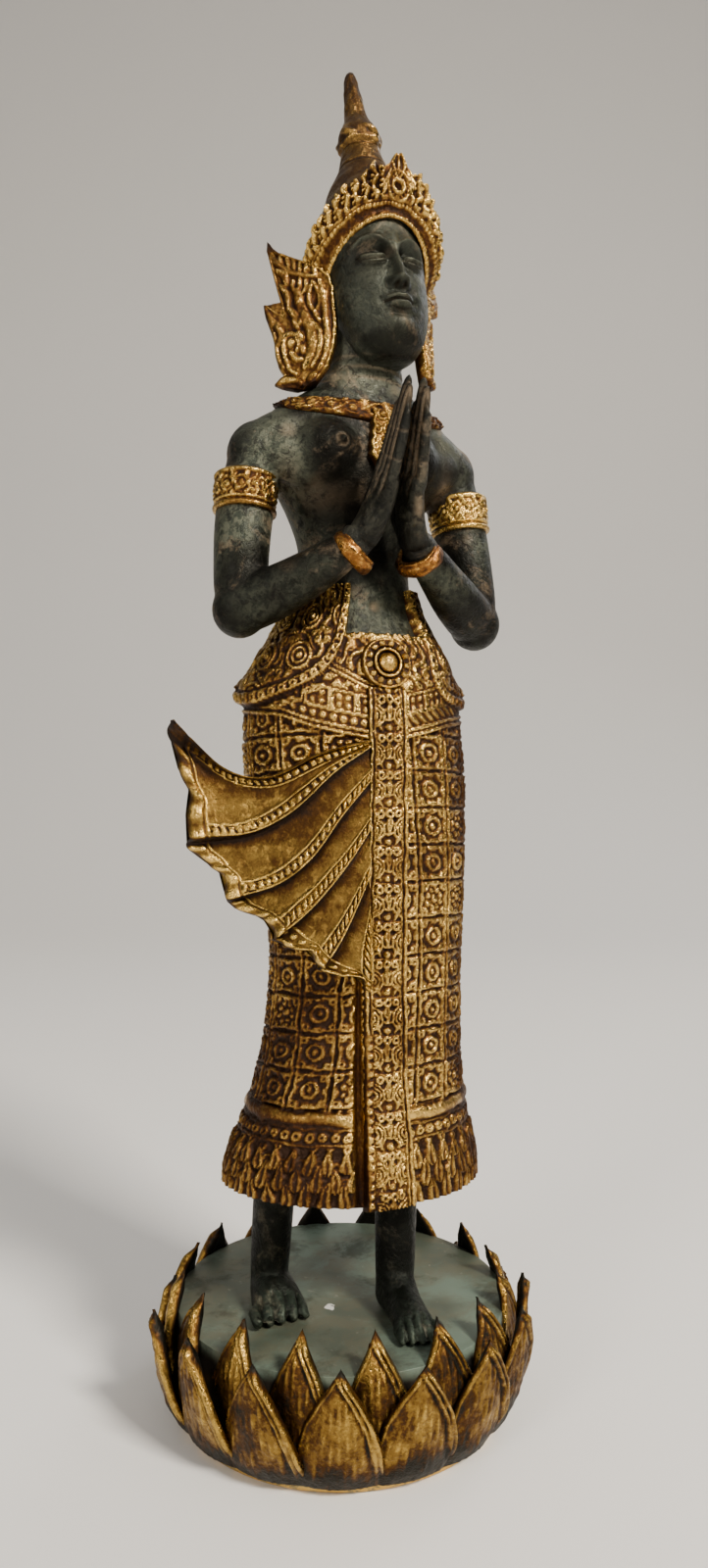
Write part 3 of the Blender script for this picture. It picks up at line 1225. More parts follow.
hand = {
    # limbs as offsets from the body's middle, with their sizes, sides, steps and the way up
    "limbs": [
        [[(10.5, -22.2, 175.0), (8.0, -23.4, 176.6), (5.6, -24.0, 179.4)],
         [[0, 3.4, 3.6], [0.6, 3.4, 3.5], [1, 3.2, 3.3]], 20, 16, (0, 0, 1)],
        [[(6.2, -23.6, 177.6), (4.2, -25.4, 181.6), (2.9, -27.8, 186.6), (2.5, -30.0, 191.0)],
         [[0, 3.6, 3.2], [0.3, 4.6, 2.7], [0.7, 4.9, 2.1], [1, 4.5, 1.6]], 26, 24, (1, 0, 0)],
        [[(5.2, -22.3, 180.0), (3.4, -21.4, 184.4), (2.4, -22.8, 188.8), (1.9, -24.6, 192.8)],
         [[0, 2.1, 2.0], [0.5, 1.5, 1.5], [0.85, 1.15, 1.1], [1, 0.6, 0.6]], 16, 22, (1, 0, 0)],
    ],
    # from the index near the chest to the little finger in front: place, length, radius and gap
    "fingers": [
        (-3.6, 16.2, 1.1, 0.15), (-1.25, 20.4, 1.14, 0.0), (1.15, 19.2, 1.1, 0.2), (3.5, 15.2, 0.96, 0.45),
    ],
    "fingerShape": [[0, 1.1, 1.2], [0.5, 1.15, 1.1], [0.86, 1, 0.92], [1, 0.6, 0.55]],
    "knuckle": Vector((0, -28.6, 188.0)),
    "direction": Vector((0, -7.6, 15.0)).normalized(),
    "outward": Vector((0, -15.0, -7.6)).normalized(),
    "voxel": 0.28,
}


def handPiece(side):
    bm = bmesh.new()
    knuckle, direction, outward = hand["knuckle"], hand["direction"], hand["outward"]

    def addPart(path, sizes, sides, steps, up):
        addLimb(bm, [onSide(side, (bodyX + x, y, z)) for x, y, z in path], sizes, sides, steps, up)

    for limb in hand["limbs"]:
        addPart(*limb)
    for offset, length, radius, aside in hand["fingers"]:
        start = knuckle + outward * offset
        end = knuckle + outward * offset * 0.66 + direction * length
        middle = (start + end) / 2 + outward * 0.3
        path = [(x + aside, place.y, place.z) for x, place in ((2.8, start), (2.05, middle), (1.5, end))]
        sizes = [[share, radius * wide, radius * high] for share, wide, high in hand["fingerShape"]]
        addPart(path, sizes, 16, 26, (1, 0, 0))
    piece = fuse(sideName("hand", side), bm, hand["voxel"], 2)
    carveHand(piece, side)
    return piece


def carveHand(piece, side):
    p, n = pointsOf(piece)
    y, z = p[:, 1], p[:, 2]
    # how far up the fingers, and across them from the middle finger
    fromKnuckle = p - np.array(hand["knuckle"])
    rise, across = [fromKnuckle @ np.array(hand[way]) for way in ("direction", "outward")]
    spread = 1 - 0.34 * unit(rise / 18)
    h, recess = np.zeros(len(p)), np.zeros(len(p))
    for groove in (-2.4, -0.05, 2.3):
        cut = 1.3 * bell(across, groove * spread, 0.32)
        cut = cut * smooth(rise, -2.5, 1.0) * (1 - smooth(rise, 17, 20))
        h -= 0.42 * cut
        recess += 0.9 * cut
    for joint in (5.6, 10.8):
        cut = bell(rise, joint, 0.25)
        h -= 0.1 * cut
        recess += 0.3 * cut
    # a worn pale line runs up the outer edge of the left palm
    if side > 0:
        line = 0.9 * bell(across, 5.0, 0.55) * smooth(rise, -10, -4) * (1 - smooth(rise, 3, 11))
        recess += line * smooth(wobble(z * 1.3, y, 3), -0.6, 0.5)
    p = p + n * h[:, None]
    grime = 0.35 * smooth(wobble(p[:, 2] * 0.4, p[:, 1] * 0.4, 2), -0.4, 0.4)
    setPoints(piece, p, recess=recess, grime=grime)


settle(bodyPiece(), darkSkin, "figure")
for side in (-1, 1):
    settle(handPiece(side), handSkin, "figure")
print("body made")

# The head.

head = {
    "centre": (3, -11, 236),
    "leanBack": math.radians(9),
    "leanSide": math.radians(3),
    "voxel": 0.26,
    "rows": [
        [-20.5, 3.4, 3, 3.4, 0, -2.6], [-19.4, 5.3, 4.6, 5.2, 0, -2.6],
        [-17.4, 7.0, 6.2, 7.2, 0, -2.6], [-15, 8.2, 7.1, 8.4, 0, -2.4],
        [-12.5, 9.1, 7.9, 9.2, 0, -2.0], [-9, 9.8, 8.7, 10, 0, -1.4],
        [-5, 10.1, 9.5, 10.6, 0, -0.7], [0, 10.4, 10.1, 11, 0, 0],
        [4, 10.5, 10.3, 11.2, 0, 0.4], [8, 9.8, 9.8, 10.8, 0, 0.6],
        [11.5, 7.4, 7.4, 8.4, 0, 0.6], [13.6, 3.4, 3.4, 4, 0, 0.6],
    ],
    "ear": [(9.9, 0.8, 3.0), (10.8, 1.6, 0.0), (10.3, 0.9, -5.6), (9.2, 0.6, -9.6)],
}
eyeX, eyeZ = 4.25, -1.9
mouth = -11.2
headMatrix = (
    Matrix.Translation(Vector(head["centre"]) * mm)
    @ Matrix.Rotation(-head["leanSide"], 4, "Y")
    @ Matrix.Rotation(-head["leanBack"], 4, "X")
)
headTurn = np.array(headMatrix.to_3x3())
headCentre = np.array(head["centre"], float)


def fromHead(x, y, z):
    world = np.stack(np.broadcast_arrays(x, y, z), -1) @ headTurn.T + headCentre
    return world[..., 0], world[..., 1], world[..., 2]


def browAt(ax):
    return np.interp(ax, [0.4, 1.4, 2.8, 4.4, 6.4, 8.6], [0.2, 1.4, 2.5, 2.95, 2.5, 0.9])


faceSpots = [
    # height, then place and width across, then place and width up
    [1.4, 1.5, 0.72, -7.7, 0.8],  # the wings of the nose
    [-1.7, eyeX - 0.2, 2.9, eyeZ + 0.9, 2.1],  # the eye sockets
    [-0.9, 2.0, 0.9, -1.0, 1.5],
    [0.45, 5.3, 2.8, -6.6, 3.4],  # the cheeks
    [0.75, 0, 3.3, -10.8, 2.5],  # the ground of the lips
    [-0.55, 3.4, 0.8, mouth + 0.05, 0.8],  # the corners of the mouth
    [-0.8, 0, 2.3, mouth - 2.35, 0.65],  # the dip under the lips
    [1.1, 0, 2.7, -15.4, 1.7],  # the chin
    [-0.22, 0, 0.45, -9.5, 0.6],  # the groove over the lips
]
# the nose's height and half width, from its foot up
noseHigh = [
    [-9.2, 0], [-8.7, 0.35], [-8.2, 2.1], [-7.5, 3.0], [-6.6, 3.0],
    [-4, 2.3], [-1.5, 1.65], [0.8, 1.3], [2.6, 0.7], [4.6, 0],
]
noseWide = [[-8.5, 1.5], [-7.4, 1.45], [-6.0, 1.2], [-3, 1.0], [0, 0.95], [2.5, 1.4]]


def faceForms(x, z):
    # how far the face's soft forms stand forward of the plain egg of the head
    ax = np.abs(x)
    nose = np.interp(z, *zip(*noseHigh)) * np.exp(-((ax / np.interp(z, *zip(*noseWide))) ** 2.4))
    ball = dome((ax - eyeX) * 0.88, (z - eyeZ) * 1.4, 2.6, 2.05)
    brow = 1.05 * bell(z, browAt(ax) - 0.2, 0.8) * smooth(ax, 0.2, 1.4) * (1 - smooth(ax, 6.8, 8.8))
    bow = mouth + 0.72 - 0.16 * bell(ax, 0, 0.5) + 0.1 * bell(ax, 0.9, 0.6) - 0.05 * ax
    upperLip = 1.2 * bell(z, bow, 0.52) * unit(1 - (ax / 3.2) ** 2.2)
    lowerLip = 1.4 * bell(z, mouth - 0.85 + 0.05 * ax, 0.62) * unit(1 - (ax / 2.7) ** 2.4)
    return nose + ball + brow + upperLip + lowerLip + spots(ax, z, faceSpots)


def headPiece():
    bm = bmesh.new()
    skull = bmesh.new()
    addStack(skull, head["rows"], 200, 190)
    for vert in skull.verts:
        x, y, z = vert.co / mm
        ahead = float(smooth(-y, 2.5, 6.5))
        if ahead > 0:
            vert.co.y -= ahead * float(faceForms(x, z)) * mm
    addTo(bm, skull)
    for side in (-1, 1):
        ear = [(side * x, y, z) for x, y, z in head["ear"]]
        addLimb(bm, ear, [[0, 0.9, 1.6], [0.4, 1.1, 2.2], [1, 0.8, 1.1]], 14, 20, (0, 1, 0))
    piece = fuse("headAndFace", bm, head["voxel"], 2)
    carveFace(piece)
    return piece


# grime lies in the corners of the eyes, beside the nose and under the lips
grimeSpots = [
    [0.6, 1.9, 0.8, -0.6, 2.2], [0.65, eyeX, 3.0, eyeZ + 1.9, 0.8], [0.6, 2.5, 0.6, -7.8, 1.2],
    [0.5, 0, 2.4, mouth - 2.3, 0.6], [0.4, eyeX, 3.0, eyeZ - 1.9, 0.6], [0.4, 0, 1.6, -9.3, 0.5],
]
# chin, cheeks and forehead, which hands have rubbed paler
rubbedSpots = [[0.75, 0, 2.2, -15.0, 1.4], [0.6, 5.6, 2.2, -5.6, 2.6], [0.6, 0, 4.5, 6, 2.4]]


def carveFace(piece):
    p, n = pointsOf(piece)
    x, z = p[:, 0], p[:, 2]
    ax = np.abs(x)
    ahead = smooth(-p[:, 1], 3.5, 5.5)
    inEye = smooth(ax, eyeX - 2.6, eyeX - 2.1) * (1 - smooth(ax, eyeX + 2.5, eyeX + 3.0))
    out = ((ax - eyeX) / 2.4) ** 2
    slit, under = eyeZ - 0.62 + 0.38 * out, eyeZ - 1.45 + 0.8 * out
    crease = eyeZ + 1.25 - 0.75 * out
    lipLine = mouth - 0.1 - 0.12 * bell(ax, 0, 0.5) + 0.1 * bell(ax, 1.3, 0.7) + 0.13 * smooth(ax, 2.3, 3.4)
    upperRim = mouth + 1.28 - 0.22 * bell(ax, 0, 0.4) - 0.035 * ax**2
    # each cut's line and width, where it is, its depth in mm and its darkness
    cuts = [
        [slit, 0.2, inEye, 0.5, 1.0],
        [crease, 0.22, inEye, 0.42, 0.798],
        [under, 0.2, inEye, 0.22, 0.352],
        [browAt(ax) + 0.35, 0.16, smooth(ax, 0.9, 1.6) * (1 - smooth(ax, 7.4, 8.6)), 0.26, 0.9],
        [lipLine, 0.19, 1 - smooth(ax, 3.0, 3.5), 0.55, 1.1],
        [upperRim, 0.13, 1 - smooth(ax, 2.6, 3.2), 0.18, 0.6],
        [mouth - 1.75 + 0.09 * ax**2, 0.15, 1 - smooth(ax, 2.0, 2.7), 0.16, 0.5],
    ]
    h = (0.55 * bell(z, slit + 0.5, 0.32) + 0.2 * bell(z, under + 0.2, 0.2)) * inEye
    hollow = np.zeros(len(p))
    for line, width, where, deep, darkness in cuts:
        cut = bell(z, line, width) * where
        h = h - deep * cut
        hollow = hollow + darkness * cut
    for side in (-1, 1):
        nostril = bell(x, side * 0.82, 0.42) * bell(z, -8.55, 0.34) * (p[:, 1] < -10.2)
        h = h - 0.45 * nostril
        hollow = hollow + nostril
    dim = spots(ax, z, grimeSpots) + 0.75 * (1 - smooth(z, -17.5, -15.4))
    dim = dim + 0.35 * smooth(wobble(x * 0.35, z * 0.3, 5), 0.1, 0.8)
    # the parts that hands touch are rubbed paler: nose, brows, eyelids and lips too
    rubbed = spots(ax, z, rubbedSpots)
    rubbed = rubbed + 0.9 * bell(ax, 0, 0.75) * smooth(z, -8.4, -7) * (1 - smooth(z, 0, 3))
    rubbed = rubbed + 0.75 * bell(z, browAt(ax) - 0.3, 0.6) * (ax < 8)
    rubbed = rubbed + dome((ax - eyeX) * 0.88, (z - eyeZ) * 1.45, 2.4, 1)
    rubbed = rubbed + 0.85 * bell(z, mouth + 0.6, 0.4) * (ax < 2.8)
    rubbed = rubbed + 0.9 * bell(z, mouth - 0.95, 0.45) * (ax < 2.3)
    rubbed = rubbed * (1 - unit(hollow)) * ahead * (0.7 + 0.4 * wobble(x * 0.9, z * 0.9, 4))
    grime = unit(hollow + dim) * ahead * 0.9
    recess = 0.22 * hollow * ahead + 0.25 * smooth(wobble(x * 0.6, z * 0.6, 9), 0.55, 1.0)
    p = (p + n * (h * ahead)[:, None]) @ headTurn.T + headCentre
    setPoints(piece, p, recess=recess, rubbed=rubbed, grime=grime)


settle(headPiece(), faceSkin, "figure")
print("head made")

# The crown and its spire.

crown = {
    "flames": 42,
    "girth": 12.2,
    "height": 7.4,
    "scallop": 0.8,
    "crest": 4.1,
    "crestAt": 1.0,
    "rosetteAt": 5.6,
    "frontRows": 76,
    "backRows": 12,
    "columns": 420,
    # how far the band leans out at its sides and in front, from its foot to its top
    "flareSteps": [0, 0.1, 0.3, 0.5, 0.75, 1],
    "flareSide": [0.1, 0.9, 2.6, 3.5, 3.6, 2.9],
    "flareFront": [0.1, 0.5, 0.9, 1.6, 2.5, 3.2],
}
flamePitch = fullTurn * crown["girth"] / crown["flames"]


def hairline(theta):
    return 6.6 - 8.6 * (1 - np.cos(np.minimum(np.abs(theta), 2))) ** 0.9


def rosetteRelief(c, s):
    # the rosette over the brow stands in a pointed frame, under a bud with a sunk heart
    up = s - crown["rosetteAt"]
    off = np.hypot(c, up)
    frame = np.hypot(c, up * 0.8 - 0.2 * np.clip(up, 0, None)) - 2.15 + 0.5 * unit(up / 3)
    beads = beadRow(np.arctan2(c, up) * 2.0, off - 1.75, 0.8, 0.36, 0.8)
    rosette = most(hoop(c, up, 1.15, 0.48, 1.25), beads)
    budWide = 1.25 * unit(1 - np.abs(up - 3.9) / 2.6) ** 0.7
    bud = ridge(np.abs(c) - budWide, 0.36, 1.1) * (np.abs(up - 3.9) < 2.7)
    sides = leaf(np.abs(c) - 2.7 + 0.2 * up, up + 1.6, 4.6, 0.75, 1.2, -0.7, 0.2)
    heart = leaf(c, up - 2.0, 4.2, 0.55, 1.0, 0, 0)
    return most(ridge(frame, 0.4, 1.0), rosette, bud, sides, heart, 0.5 + 0 * s) - 0.5 * bell(off, 0, 0.55)


def diademRelief(g, s, topEdge):
    # from the hairline up: a rope, a hollow band, a second rope, then rows of curling flames
    gx, sx = handCut(g, s, 0.18)
    rope = ridge(s - 0.42, 0.4, 0.5) * (0.75 + 0.25 * np.cos(g * 9.5))
    second = most(ridge(sx - 2.7, 0.38, 0.55) * (0.7 + 0.3 * np.cos(g * 7.5)), ridge(sx - 3.4, 0.26, 0.35))
    c = g - crown["crestAt"]
    strand = np.floor(gx / flamePitch + 0.5)
    own = cellNoise(strand, 0 * s, 2)
    phase = math.pi * np.mod(strand, 2) + 1.2 * own
    sway = 0.36 * np.sin((sx - 3.4) * 1.9 + phase)
    place = gx - strand * flamePitch - sway * flamePitch / 2
    swell = 0.5 + 0.5 * np.cos((sx - 4.3) * 2.6 + phase)
    flames = ridge(place, flamePitch * (0.24 + 0.16 * swell), 0.85 + 0.55 * swell) * (sx > 3.5)
    curl = middleOf(sx - 3.4 + 1.2 * np.mod(strand, 2), 2.4)
    curls = hoop(gx - (strand + 0.36 * np.sign(c)) * flamePitch, curl, 0.5, 0.32, 0.85) * (sx > 3.8)
    heads = dome(place, sx - 7.0 - 0.6 * own, 0.55, 1.2) * (s < topEdge - 0.5)
    h = most(rope, second, flames, curls, heads)
    near = smooth(-np.abs(c), -3.3, -2.7) * smooth(s, 3.0, 3.6)
    h = h * (1 - near) + near * most(rosetteRelief(c, s), rope, second)
    return h - 0.5 * bell(s, 1.75, 0.75) + 0.1 * wobble(g * 4, s * 4, 5)


def placeDiadem(u, v):
    # the rows run up the front and down behind it
    frontRows, backRows = crown["frontRows"], crown["backRows"]
    theta = (u - 0.5) * fullTurn
    k = np.round(v * (frontRows + backRows))
    front = k <= frontRows
    t = np.where(front, k / frontRows, 1 - (k - frontRows) / backRows)
    g = theta * crown["girth"]
    scallop = np.cos(middleOf(g + 0.5 * flamePitch, flamePitch) / flamePitch * math.pi)
    scallop = scallop * (0.75 + 0.25 * np.sin(g * 1.1))
    c = np.abs(g - crown["crestAt"])
    crest = 2.0 * bell(c, 4.3, 1.7) + crown["crest"] * unit(1 - c / 2.7) ** 0.8
    topEdge = crown["height"] + crown["scallop"] * scallop + crest
    flareSide = np.interp(t, crown["flareSteps"], crown["flareSide"])
    flareFront = np.interp(t, crown["flareSteps"], crown["flareFront"])
    flare = flareFront + (flareSide - flareFront) * np.sin(theta) ** 2
    s = t * topEdge
    h = diademRelief(g, s, topEdge)
    thick = 1.5 * (1 - smooth(t, 0.93, 1.0)) + 0.25
    out = np.where(front, h, -thick)
    outX, outY = oval(theta, 10.4 + flare + out, 10.6 + flare + out, 11.6 + flare * 0.7 + out, 0.4, 0.4)
    dark = unit(recessOf(np.where(front, h, 0), 4, 0.9) + 0.3 * bell(s, 1.8, 0.7))
    return *fromHead(outX, outY, hairline(theta) + s), np.where(front, dark, 0.5)


spireProfile = [
    [0, 7.6], [8.6, 7.6], [10.4, 9.4], [10.8, 11.4], [9.9, 14.4], [8.6, 17.6], [7.3, 20.4], [6.1, 22.6],
    [5.25, 24.6], [4.6, 26.6], [4.2, 28.4], [4.0, 29.2], [4.35, 30.2], [4.5, 31.6], [4.2, 33.2], [3.3, 34.8],
    [2.5, 36.6], [2.2, 39], [1.85, 42.2], [1.35, 45.4], [0.8, 47.2], [0, 47.6],
]
spireShape = evenly(spireProfile)


def placeSpire(u, v):
    a = u * fullTurn
    r, z = spireShape(v)
    curls = 0.7 * unit(np.sin(a * 5 + 0.9 * np.sin(z * 1.6))) ** 0.7 * bell(z, 31.6, 1.4)
    neckRing = 0.3 * bell(z, 29.9, 0.3) * (0.7 + 0.3 * np.cos(a * 12))
    groove = -0.25 * bell(z, 28.9, 0.3) - 0.3 * bell(z, 24.2, 0.35)
    lumps = 0.16 * wobble(a * 3, z * 0.7, 6) * (z > 8) + 0.1 * wobble(a * 9, z * 1.6, 2)
    h = curls + neckRing + groove + lumps
    r = np.clip(r + h * (r > 0.6), 0, None)
    dark = unit(0.2 + recessOf(h, 4, 0.5) * 0.8)
    # behind, the cap reaches down to the band of the diadem
    behind = smooth(-np.cos(a), -0.1, 0.7) * (1 - smooth(z, 9.0, 13.5))
    r, z = r + 0.9 * behind * (r > 5), z - 9.0 * behind
    return *fromHead(0.5 - 0.25 * smooth(z, 34, 44) + r * np.sin(a), 0.6 - r * np.cos(a), z), dark


diademRows = crown["frontRows"] + crown["backRows"]
diadem = gridPiece("diadem", crown["columns"], diademRows, placeDiadem, wrap=True)
settle(diadem, gilding, "figure")
spire = gridPiece("spire", columns=84, rows=160, place=placeSpire, wrap=True)
settle(spire, dullGilding, "figure")

# The ear ornaments.

earWing = {
    # places are [along the ornament's sweep, up] from the ear
    "outer": [
        [8.6, -24.2], [11.2, -23.6], [13.2, -23.0], [14.6, -22.0], [13.4, -21.0], [12.3, -20.8],
        [13.3, -18.6], [13.8, -15.7], [13.7, -13], [14.2, -10.3], [15.0, -7.2], [15.2, -4.6], [13.9, -6.0],
        [12.6, -7.4], [11.2, -8.2], [11.3, -6], [11.9, -2.2], [12.7, 3.5], [13.3, 7.4], [13.0, 9.6],
    ],
    "inner": [
        [8.6, -24.2], [5.5, -23.3], [2.8, -20.4], [1.0, -16.4], [0.1, -12.2], [0.0, -8], [-0.2, -4.3],
        [0.4, -1.2], [2.0, 0.8], [4.2, 2.2], [6.2, 3.4], [8.6, 4.8], [10.6, 6.2], [11.8, 7.6],
        [12.4, 8.8], [13.0, 9.6],
    ],
    # width, height and path of each cut stroke
    "strokes": [
        [0.6, 0.9, [[2.8, -2.0], [2.3, -5.6], [2.4, -9.9], [2.4, -13.6], [3.1, -17.7], [4.8, -20.8],
                    [7.0, -22.7]]],
        [0.95, 1.0, [[7.6, -3.2], [7.2, -6.6], [6.4, -9.7], [5.5, -12.9], [5.7, -15.7], [6.7, -17.9],
                     [7.8, -19.8]]],
        [0.5, 0.9, [[5.0, -10.6], [3.9, -12.8], [3.9, -15.2], [4.9, -18.1], [6.2, -20.1]]],
        [0.45, 0.85, [[4.2, -1.9], [5.2, -4.1], [5.4, -6.5], [4.6, -8.5], [3.6, -10.7]]],
        [0.42, 0.8, [[4.0, -2.2], [3.3, -4.4], [3.2, -6.8], [3.9, -8.2]]],
        [0.42, 0.85, [[8.2, -0.7], [8.5, -2.2], [7.6, -3.9]]],
        [0.42, 0.85, [[5.7, -1.3], [5.6, -2.9], [6.6, -4.2]]],
        [0.42, 0.8, [[6.8, -0.7], [7.1, -3.0]]],
        [0.42, 0.8, [[10.6, 5.1], [10.3, 3.1]]],
        [0.45, 0.85, [[9.0, 4.4], [8.8, 2.2]]],
        [0.45, 0.85, [[7.7, 3.8], [7.7, 1.5]]],
        [0.45, 0.85, [[6.3, 3.0], [6.6, 0.9]]],
        [0.45, 0.85, [[4.8, 2.3], [5.5, 0.4]]],
        [0.45, 0.85, [[3.6, 1.4], [3.6, -1.0]]],
        [0.55, 0.7, [[12.9, 8.7], [12.4, 6.2], [11.0, 3.6], [8.9, 1.4], [6.4, 0.0], [4.1, -0.9]]],
        [0.65, 0.95, [[11.2, 2.0], [9.9, 0.6], [9.7, -1.6]]],
        [0.55, 0.95, [[11.0, -1.2], [10.0, -3.2], [9.7, -6.2]]],
        [0.7, 1.0, [[9.7, -6.5], [8.7, -8.3], [7.5, -10.5]]],
        [0.6, 0.95, [[8.9, -9.4], [8.3, -11.1]]],
        [0.6, 0.95, [[8.2, -12.2], [7.7, -13.9]]],
        [0.6, 0.85, [[8.0, -15.2], [7.6, -16.6]]],
        [0.65, 0.85, [[14.8, -5.4], [14.0, -7.9], [12.4, -10.1], [11.9, -12.2], [12.9, -14.0]]],
        [0.5, 0.8, [[13.4, -11.0], [13.4, -13.6], [13.1, -16.7], [12.1, -19.1]]],
        [0.5, 0.95, [[9.0, -16.0], [8.5, -14.3], [9.3, -12.4], [11.0, -12.4], [11.6, -14.4], [11.6, -17.0],
                     [10.8, -19.6], [9.4, -21.0]]],
        [0.6, 0.95, [[10.3, -16.0], [9.3, -17.6], [8.0, -18.1]]],
        [0.8, 1.15, [[10.2, -13.8], [10.1, -14.3]]],
        [0.6, 0.85, [[13.8, -22.0], [12.0, -21.7], [9.9, -22.2], [8.8, -23.4]]],
        [0.7, 0.9, [[5.8, -21.5], [7.0, -22.9]]],
    ],
    "pair": [
        {"side": -1, "sweep": 35, "roll": 0, "lowerReach": 1.0, "root": 9.5},
        {"side": 1, "sweep": 46, "roll": 12, "lowerReach": 0.52, "root": 8.6},
    ],
    "thickness": 2.2,
    "frontColumns": 76,
    "backColumns": 8,
    "rows": 176,
}


def alongPoints(points, share):
    points = np.array(points, float)
    length = np.concatenate([[0], np.cumsum(np.hypot(*np.diff(points, axis=0).T))])
    length /= length[-1]
    return np.interp(share, length, points[:, 0]), np.interp(share, length, points[:, 1])


def earWingPiece(spec):
    side, turn, roll = spec["side"], math.radians(spec["sweep"]), math.radians(spec["roll"])
    frontColumns, backColumns = earWing["frontColumns"], earWing["backColumns"]

    def place(u, v):
        k = np.round(u * (frontColumns + backColumns))
        front = k <= frontColumns
        share = np.where(front, k / frontColumns, 1 - (k - frontColumns) / backColumns)
        op, oq = alongPoints(earWing["outer"], v)
        ip, iq = alongPoints(earWing["inner"], v)
        p, q = ip + (op - ip) * share, iq + (oq - iq) * share
        wide = np.hypot(op - ip, oq - iq)
        h = most(0 * p, *(stroke(p, q, path, w * 1.3, tall * 1.1) for w, tall, path in earWing["strokes"]))
        rim = most(ridge((1 - share) * wide - 0.35, 0.4, 0.7), ridge(share * wide - 0.45, 0.45, 0.8))
        h = most(h, rim) * (0.85 + 0.2 * wobble(p * 1.6, q * 1.4, 3))
        h = h + 0.14 * wobble(p * 3, q * 3, 5) + 0.12 * wobble(p * 6, q * 5, 2)
        h = (0.5 * h + 0.5 * blurred(h, 1)) * unit(wide / 2.5)
        thin = np.clip(wide / 4, 0.25, 1) * earWing["thickness"] / 2
        edge = thin * np.sqrt(unit(1 - (2 * share - 1) ** 12))
        w = np.where(front, edge + h * 0.8, -edge)
        # the tips are darker, and so is the plain back
        tips = 0.4 * smooth(q, 6, 9.5) + 0.4 * smooth(p, 13.6, 15) + 0.35 * (1 - smooth(q, -23.6, -22))
        dark = np.where(front, recessOf(np.where(front, h, 0), 4, 1.3) + 0.08, 0.55)
        # the far ornament is seen narrower below
        low = spec["lowerReach"]
        p = p * np.where(q < -3, low, 1.0 + (low - 1) * (1 - smooth(q, -3, 0)))
        pr, qr = p * math.cos(roll) + q * math.sin(roll), q * math.cos(roll) - p * math.sin(roll)
        # along the sweep, up, and out of the front face
        x = side * (spec["root"] + pr * math.cos(turn)) + side * math.sin(turn) * w
        y = -0.7 + pr * math.sin(turn) - math.cos(turn) * w
        return *fromHead(x, y, qr), unit(dark + tips)

    name = sideName("earOrnament", side)
    return gridPiece(name, frontColumns + backColumns, earWing["rows"], place, wrap=True, flip=side < 0)


for spec in earWing["pair"]:
    settle(earWingPiece(spec), gilding, "figure")
print("crown and ear ornaments made")

# The collar, armbands and bracelets.

torsoAt = through(torso["rows"])

collar = {
    "top": 209.4,
    # the lower edge hangs from the neck's root in front and lies out over the shoulders
    "lowSteps": [0, 0.5, 1.0, 1.35, 1.75, 2.3, 3.2],
    "low": [203.9, 204.9, 206.0, 207.3, 207.9, 207.3, 206.6],
    "columns": 240,
    "rows": 36,
}
pendant = {
    "length": 12.8,
    "top": 206.6,
    "middle": bodyX + 1.5,
    "halfSteps": [0, 0.12, 0.3, 0.55, 0.72, 0.82, 0.95, 1],
    "half": [2.0, 2.1, 2.3, 2.8, 3.1, 2.4, 1.0, 0.1],
    # how far forward the breast is at these heights
    "breastSteps": [193, 196, 200, 204, 207, 209, 211],
    "breast": [-18.9, -18.2, -17.4, -16.9, -16.5, -16.2, -15.8],
}
armband = {
    "centre": (24.4, -7.8, 188.8),
    "columns": 144,
    "rows": 50,
    # rows of [share, radius, height along the arm]
    "profile": [
        [0, 5.0, -4.0], [0.08, 5.8, -4.1], [0.14, 6.05, -3.5], [0.3, 6.05, -1.6], [0.6, 5.95, 1.4],
        [0.72, 6.0, 2.4], [0.8, 6.45, 3.0], [0.87, 6.35, 3.6], [0.93, 5.8, 3.8], [1, 4.6, 3.7],
    ],
}
bracelet = {
    "centre": (7.3, -23.2, 176.0),
    "columns": 72,
    "rows": 28,
    "profile": [
        [0, 3.0, -1.4], [0.1, 3.6, -1.9], [0.24, 4.3, -1.75], [0.4, 4.8, -1.0],
        [0.56, 4.85, 0.0], [0.72, 4.6, 0.9], [0.86, 4.1, 1.5], [1, 3.2, 1.4],
    ],
}


def flowerRelief(x, y, seed=0.0):
    # a rough run of small flowers and leaves, as on the collar and the armbands
    x = x + 0.35 * wobble(x * 1.1, y * 0.9, seed)
    y = y + 0.3 * wobble(x * 0.9, y * 1.1, seed + 4)
    px, qx = middleOf(x + 1.6, 3.2), middleOf(x, 3.2)
    cell = cellNoise(np.floor((x + 1.6) / 3.2), 0 * x, seed)
    heart = dome(px, y - 0.3 * (cell - 0.5), 0.6 + 0.3 * cell, 0.8)
    flower = most(heart, hoop(px, y, 1.25, 0.34, 0.45 + 0.2 * cell))
    leaves = most(leaf(qx, y + 2.5, 2.5, 0.8, 0.65, 0.6), leaf(-qx, -y + 2.5, 2.5, 0.8, 0.65, 0.6))
    rough = 0.25 * wobble(x * 2.7, y * 2.9, seed) + 0.15 * wobble(x * 5.1, y * 4.7, seed + 2)
    return most(flower, leaves, dome(qx, y, 0.5, 0.5)) + rough


